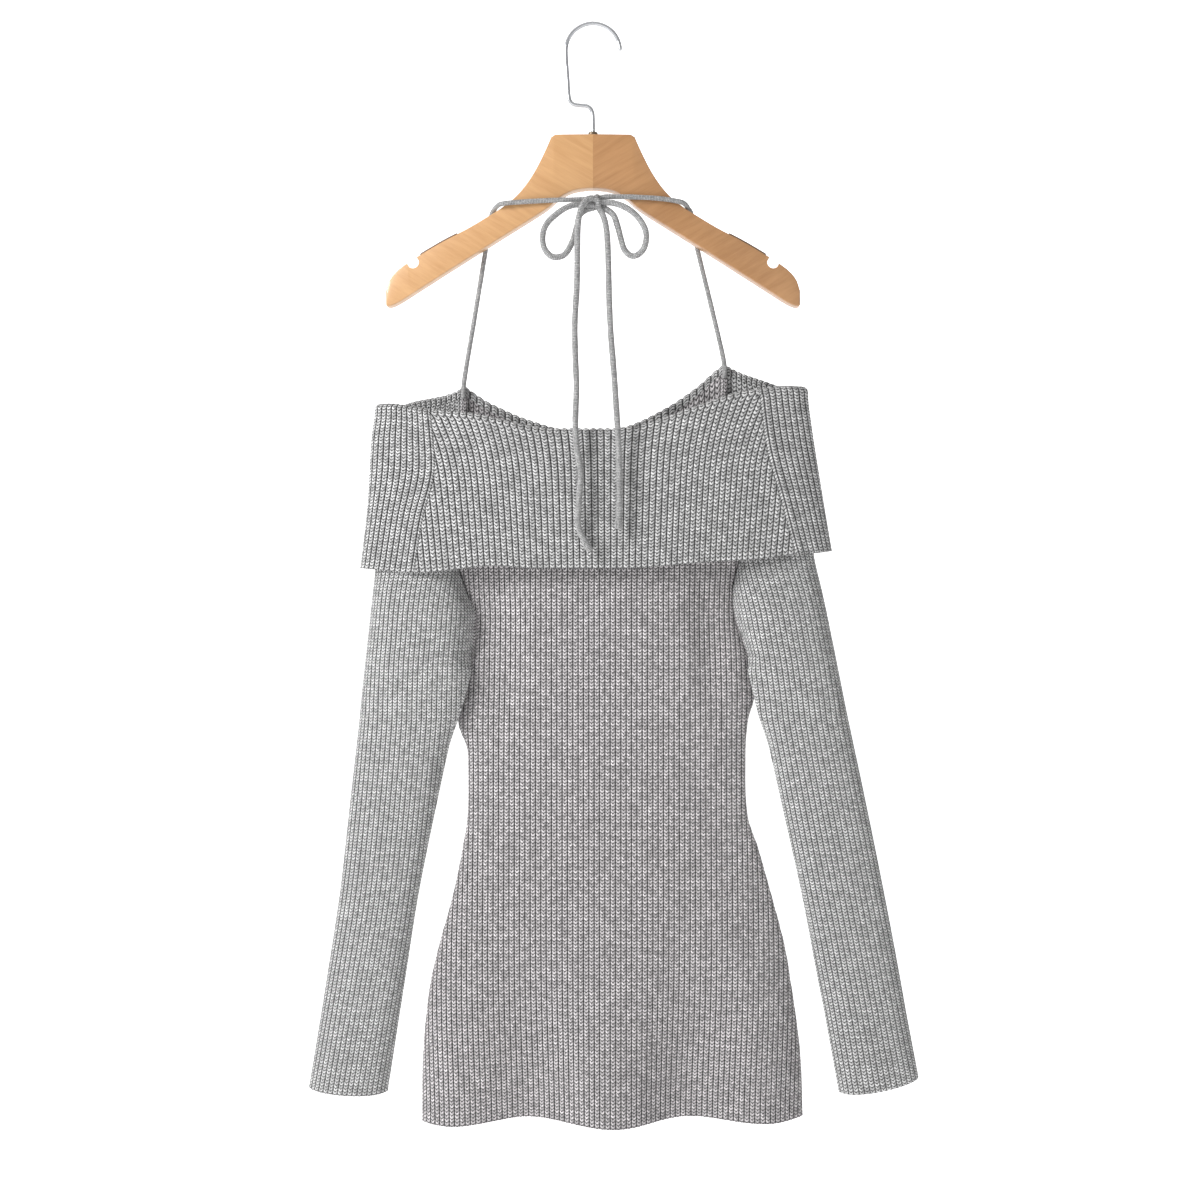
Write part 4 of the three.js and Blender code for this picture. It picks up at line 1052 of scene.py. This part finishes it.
def collar_ring(kind, angle, under, share):
    if kind != "hang":
        return neck_ring(FOLD_RADIUS * (1 + math.cos(angle)), under)

    def height(x, y):
        hem = np.where(y < SIDE_Y, COLLAR_HEM_BACK.at("drop", x), COLLAR_HEM_FRONT.at("drop", x))
        top = neck_drop(x, y)
        return top + (hem - top) * share

    return ring(*COLLAR.row(share, "left", "right", "back", "front"), height)


def collar_stretch(loop, share, panel):
    """Where a panel starts and ends on a ring of the collar, and where its ribs count from."""
    at = ring_lengths(loop, share)
    return {
        "back": (at["back_left"], at["back_right"], loop.reaching(CENTRE_WALE)),
        "right": (at["back_right"], at["front_right"], at["right_end"]),
        "front": (at["front_right"], at["front_left"], (at["front_right"] + at["front_left"]) / 2),
        "left": (at["front_left"], loop.length + at["back_left"], loop.length),
    }[panel]


def collar_panel(panel):
    wall = Wall(COLLAR_WALL, RELIEF["collar"], STITCH["collar"])
    travelled = 0.0
    before = None
    start, end, origin = collar_stretch(collar_ring("hang", math.pi, 0, 0.5), 0.5, panel)
    counts = [round((origin - start) / SHOULDER_RIB), round((end - origin) / SHOULDER_RIB)]
    for kind, angle, under, share in collar_rows():
        loop = collar_ring(kind, angle, under, share)
        start, end, origin = collar_stretch(loop, share, panel)
        line = loop.part(start, end)
        middle = line.points[SAMPLES // 2]
        if before is not None:
            travelled += float(np.linalg.norm(middle - before))
        before = middle
        rib = COLLAR_RIB.at("pitch", share)
        if panel in ("back", "front"):
            wales = bent_wales(panel, origin - start, rib, share)
        else:
            wales = shoulder_wales(origin - start, line.length, counts)
        face = (-math.cos(angle), math.sin(angle))
        fade = HEM_FADE + (1 - HEM_FADE) * smoothstep(0, HEM_FADE_SHARE, 1 - share)
        if kind == "lip":
            fade = LIP_FADE
        ridges = SEAM_RIDGES.get(panel, (0, 0)) if kind == "hang" else (0, 0)
        wall.row(line, origin - start, rib, travelled, fade, face, wales, ridges)
    return wall


def bent_wales(panel, origin, rib, share):
    """Where the wales of the back or the front lie: bent in towards the middle below the fold."""
    ends = COLLAR_BEND[f"{panel}_left"], COLLAR_BEND[f"{panel}_right"]
    low, high = ends if panel == "back" else ends[::-1]
    towards = smoothstep(*BEND_SHARES, share)

    def place(key):
        flat = key * rib
        bend = np.where(flat < 0, low, -high) * smoothstep(*BEND_FROM_MIDDLE, np.abs(flat))
        return origin + flat + bend * towards

    return place


def shoulder_wales(origin, length, counts):
    """Where a shoulder panel's wales lie: always the same number between its fold and a seam."""
    before, after = counts

    def place(key):
        return origin + np.where(key < 0, key * origin / before, key * (length - origin) / after)

    return place


def cloth(wall, name, node, material):
    piece = dress(wall.made(name), node, material)
    flat, area = wall.cut()


for side in ("back", "front"):
    cloth(body_panel(side), f"panel_{side}", f"body_{side}", BODY_KNIT)
for side in ("left", "right"):
    nodes = (f"upper_sleeve_{side}", f"lower_sleeve_{side}")
    cloth(sleeve_panel(side), f"arm_{side}", nodes, SLEEVE_KNIT)
for panel in ("back", "front", "left", "right"):
    cloth(collar_panel(panel), f"turned_collar_{panel}", f"collar_{panel}", COLLAR_KNIT)


PEAK_SEAM = {"long": 46, "thick": 6.8, "y": 19.3, "sunk": 1.6, "sway": 0.5, "lump": 0.3}
UNDERARM_SEAM = {"top": 470, "end": 628, "thick": 8.4, "forward": 4, "inward": 3.0}


def rolled_seam(name, path, thick, lump=0.0):
    """The rolled edges of the cloth along a seam, seen from inside the dress."""
    share = np.linspace(0, 1, len(path))
    radii = thick / 2 * np.sqrt(np.clip(np.sin(share * math.pi), 0.02, 1))
    radii += lump * np.sin(np.arange(len(path)) * 1.6)
    piece = tube(name, path, radii, around=20, wales=5, course=STITCH["body"])
    piece.data.materials.append(BODY_KNIT)
    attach(piece, "root")


def peak_seam(side, x, top):
    """The seam that runs down inside the front from a peak."""
    seam = PEAK_SEAM
    down = np.linspace(0, seam["long"], 30)
    sway = np.sin(down / 7) * seam["sway"]
    y = seam["y"] - seam["sunk"] * np.sin(down / seam["long"] * math.pi / 2)
    path = np.c_[x + sway, y, -(top + 4 + down)]
    rolled_seam(f"peak_seam_{side}", path, seam["thick"], seam["lump"])


def underarm_seam(side):
    """The seam inside an armpit, from the raglan seams to the top of the side seam."""
    seam, path = UNDERARM_SEAM, []
    for drop in np.linspace(seam["top"], seam["end"], 60):
        if drop <= UNDERARM:
            x = sum(RAGLANS.row(drop, f"back_{side}", f"front_{side}")) / 2
        else:
            inward = seam["inward"] * (drop - UNDERARM) / (seam["end"] - UNDERARM)
            x = BODY.at(side, drop) - WAY[side] * inward
        y = SIDE_Y + seam["forward"] * (1 - smoothstep(560, UNDERARM, drop))
        path.append((x, y, -drop))
    rolled_seam(f"underarm_seam_{side}", np.array(path), seam["thick"])


peak_seam("left", PEAK_LEFT, top=342)
peak_seam("right", PEAK_RIGHT, top=321)
underarm_seam("left")
underarm_seam("right")


# Hanger and hook

HANGER_THICK = 15
HANGER_HALF = Table(
    "x top bottom",
    (0.15, 106, 157), (18, 106, 159.5), (29, 106, 164.5), (37, 106, 170.5), (40, 108.5, 173.5),
    (45.5, 121, 177.5), (57, 143, 184.8), (70, 160.5, 192.6), (84, 172.5, 201), (100, 182.5, 210.6),
    (120, 193.8, 222.6), (146, 206.5, 238.2), (172, 221, 253.8), (184, 228.5, 261), (192, 235, 265),
    (197.5, 242.5, 266.5), (200.5, 252, 266),
)
NOTCH_X = 173.8
NOTCH_DROP = 225
NOTCH_RADIUS = 5.8
EDGE_ROUND = 2.4
GLUE_LINE = 0.02
SLICES = (*range(4, 190, 4), 192, 195, 197.5, 199.3)


def sweep(x):
    """How far the arms' tips are swept back from the middle."""
    return 22 * (np.abs(x) / 200) ** 1.6


def apply_modifier(piece, kind, **settings):
    only(piece)
    modifier = piece.modifiers.new(kind.lower(), kind)
    for key, value in settings.items():
        setattr(modifier, key, value)
    bpy.ops.object.modifier_apply(modifier=modifier.name)


def slice_across(piece, way, places, **settings):
    """Cuts a piece across its arm at distances from the middle."""
    only(piece)
    bpy.ops.object.mode_set(mode="EDIT")
    for x in places:
        bpy.ops.mesh.select_all(action="SELECT")
        bpy.ops.mesh.bisect(plane_co=(way * x * MM, 0, 0), plane_no=(way, 0, 0), **settings)
    bpy.ops.object.mode_set(mode="OBJECT")


def sliced_block(way, low, high, cuts):
    bpy.ops.mesh.primitive_cube_add(size=1, location=(way * (low + high) / 2 * MM, 0, 0))
    piece = bpy.context.object
    piece.scale = ((high - low) * MM, 1, 1)
    bpy.ops.object.transform_apply()
    slice_across(piece, way, cuts)
    return piece


def hanger_half(side, material):
    """A sliced block, each slice set to the arm's outline, its edges eased, cut flat at the middle."""
    way = WAY[side]
    piece = sliced_block(way, -2 * EDGE_ROUND, HANGER_HALF.key[-1], SLICES)
    for vertex in piece.data.vertices:
        x = abs(vertex.co.x) / MM
        edge = "top" if vertex.co.z > 0 else "bottom"
        vertex.co.y = (sweep(x) + math.copysign(HANGER_THICK / 2, vertex.co.y)) * MM
        vertex.co.z = -HANGER_HALF.at(edge, x) * MM
    apply_modifier(piece, "BEVEL", width=EDGE_ROUND * MM, segments=4, limit_method="ANGLE",
                   angle_limit=math.radians(50))
    slice_across(piece, way, [GLUE_LINE], clear_inner=True, use_fill=True)
    bpy.ops.mesh.primitive_cylinder_add(
        vertices=48, radius=NOTCH_RADIUS * MM, depth=4 * HANGER_THICK * MM,
        location=(way * NOTCH_X * MM, sweep(NOTCH_X) * MM, -NOTCH_DROP * MM),
        rotation=(math.radians(90), 0, 0),
    )
    cutter = bpy.context.object
    apply_modifier(piece, "BOOLEAN", operation="DIFFERENCE", object=cutter, solver="EXACT")
    bpy.data.objects.remove(cutter)
    piece.name = f"birch_half_{side}"
    smooth(piece, angle=35)
    dress(piece, f"hanger_{side}", material)


WIRE = 3.8
CROWN = 26
HOOK_FOOT = (
    (-25.6, 34), (-24.3, 52), (-23, 69), (-19.5, 75.2), (-12, 76.8), (-5.5, 77.6), (-1.2, 82),
    (0, 92), (0, 128),
)


def hook():
    turn = np.radians(np.arange(0, 181, 6))
    points = [(CROWN * math.cos(a), 0, CROWN * math.sin(a) - (CROWN - WIRE / 2)) for a in turn]
    points += [(x, 0, -drop) for x, drop in HOOK_FOOT]
    bend = bpy.data.curves.new("wire_hook", "CURVE")
    bend.dimensions = "3D"
    bend.bevel_depth = WIRE / 2 * MM
    bend.bevel_resolution = 6
    bend.use_fill_caps = True
    path = even_path(points, step=1.2)[0]
    spline = bend.splines.new("POLY")
    spline.points.add(len(path) - 1)
    for point, place in zip(spline.points, path):
        point.co = (*(place * MM), 1)
    spline.points[0].radius = 0.55
    only(new_object("wire_hook", bend))
    bpy.ops.object.convert(target="MESH")
    piece = bpy.context.object
    smooth(piece, angle=50)
    dress(piece, "hook", CHROME)


def ferrule():
    bpy.ops.mesh.primitive_cylinder_add(vertices=48, radius=4.5 * MM, depth=3 * MM,
                                        location=(0, 0, -104.2 * MM))
    piece = bpy.context.object
    bpy.ops.object.transform_apply()
    apply_modifier(piece, "BEVEL", width=0.9 * MM, segments=3, limit_method="ANGLE")
    piece.name = "foot_ring"
    smooth(piece, angle=35)
    dress(piece, "ferrule", DARK_BRASS)


GRIP_START = 131
GRIP_END = 167
GRIP_WIDE = 10.5
GRIP_THICK = 1.9
GRIP_RIDGE = 1.5
GRIP_SUNK = 0.1
GRIP_VALLEY = 0.8


def grip_strip(side):
    """A thin strip along the arm's top with small ridges across it."""
    cuts = np.arange(GRIP_START, GRIP_END, GRIP_RIDGE / 2)[1:]
    piece = sliced_block(WAY[side], GRIP_START, GRIP_END, cuts)
    for vertex in piece.data.vertices:
        x = abs(vertex.co.x) / MM
        seat = -HANGER_HALF.at("top", x) - GRIP_SUNK
        ridge = round((x - GRIP_START) / (GRIP_RIDGE / 2)) % 2
        high = GRIP_THICK * (1 if ridge else GRIP_VALLEY)
        vertex.co.y = (sweep(x) + math.copysign(GRIP_WIDE / 2, vertex.co.y)) * MM
        vertex.co.z = (seat + (high if vertex.co.z > 0 else 0)) * MM
    piece.name = f"grip_strip_{side}"
    smooth(piece, angle=30)
    dress(piece, f"grip_{side}", GRIP_RUBBER)


hanger_half("left", BIRCH_LIT_LEFT)
hanger_half("right", BIRCH_SHADED_RIGHT)
hook()
ferrule()
grip_strip("left")
grip_strip("right")
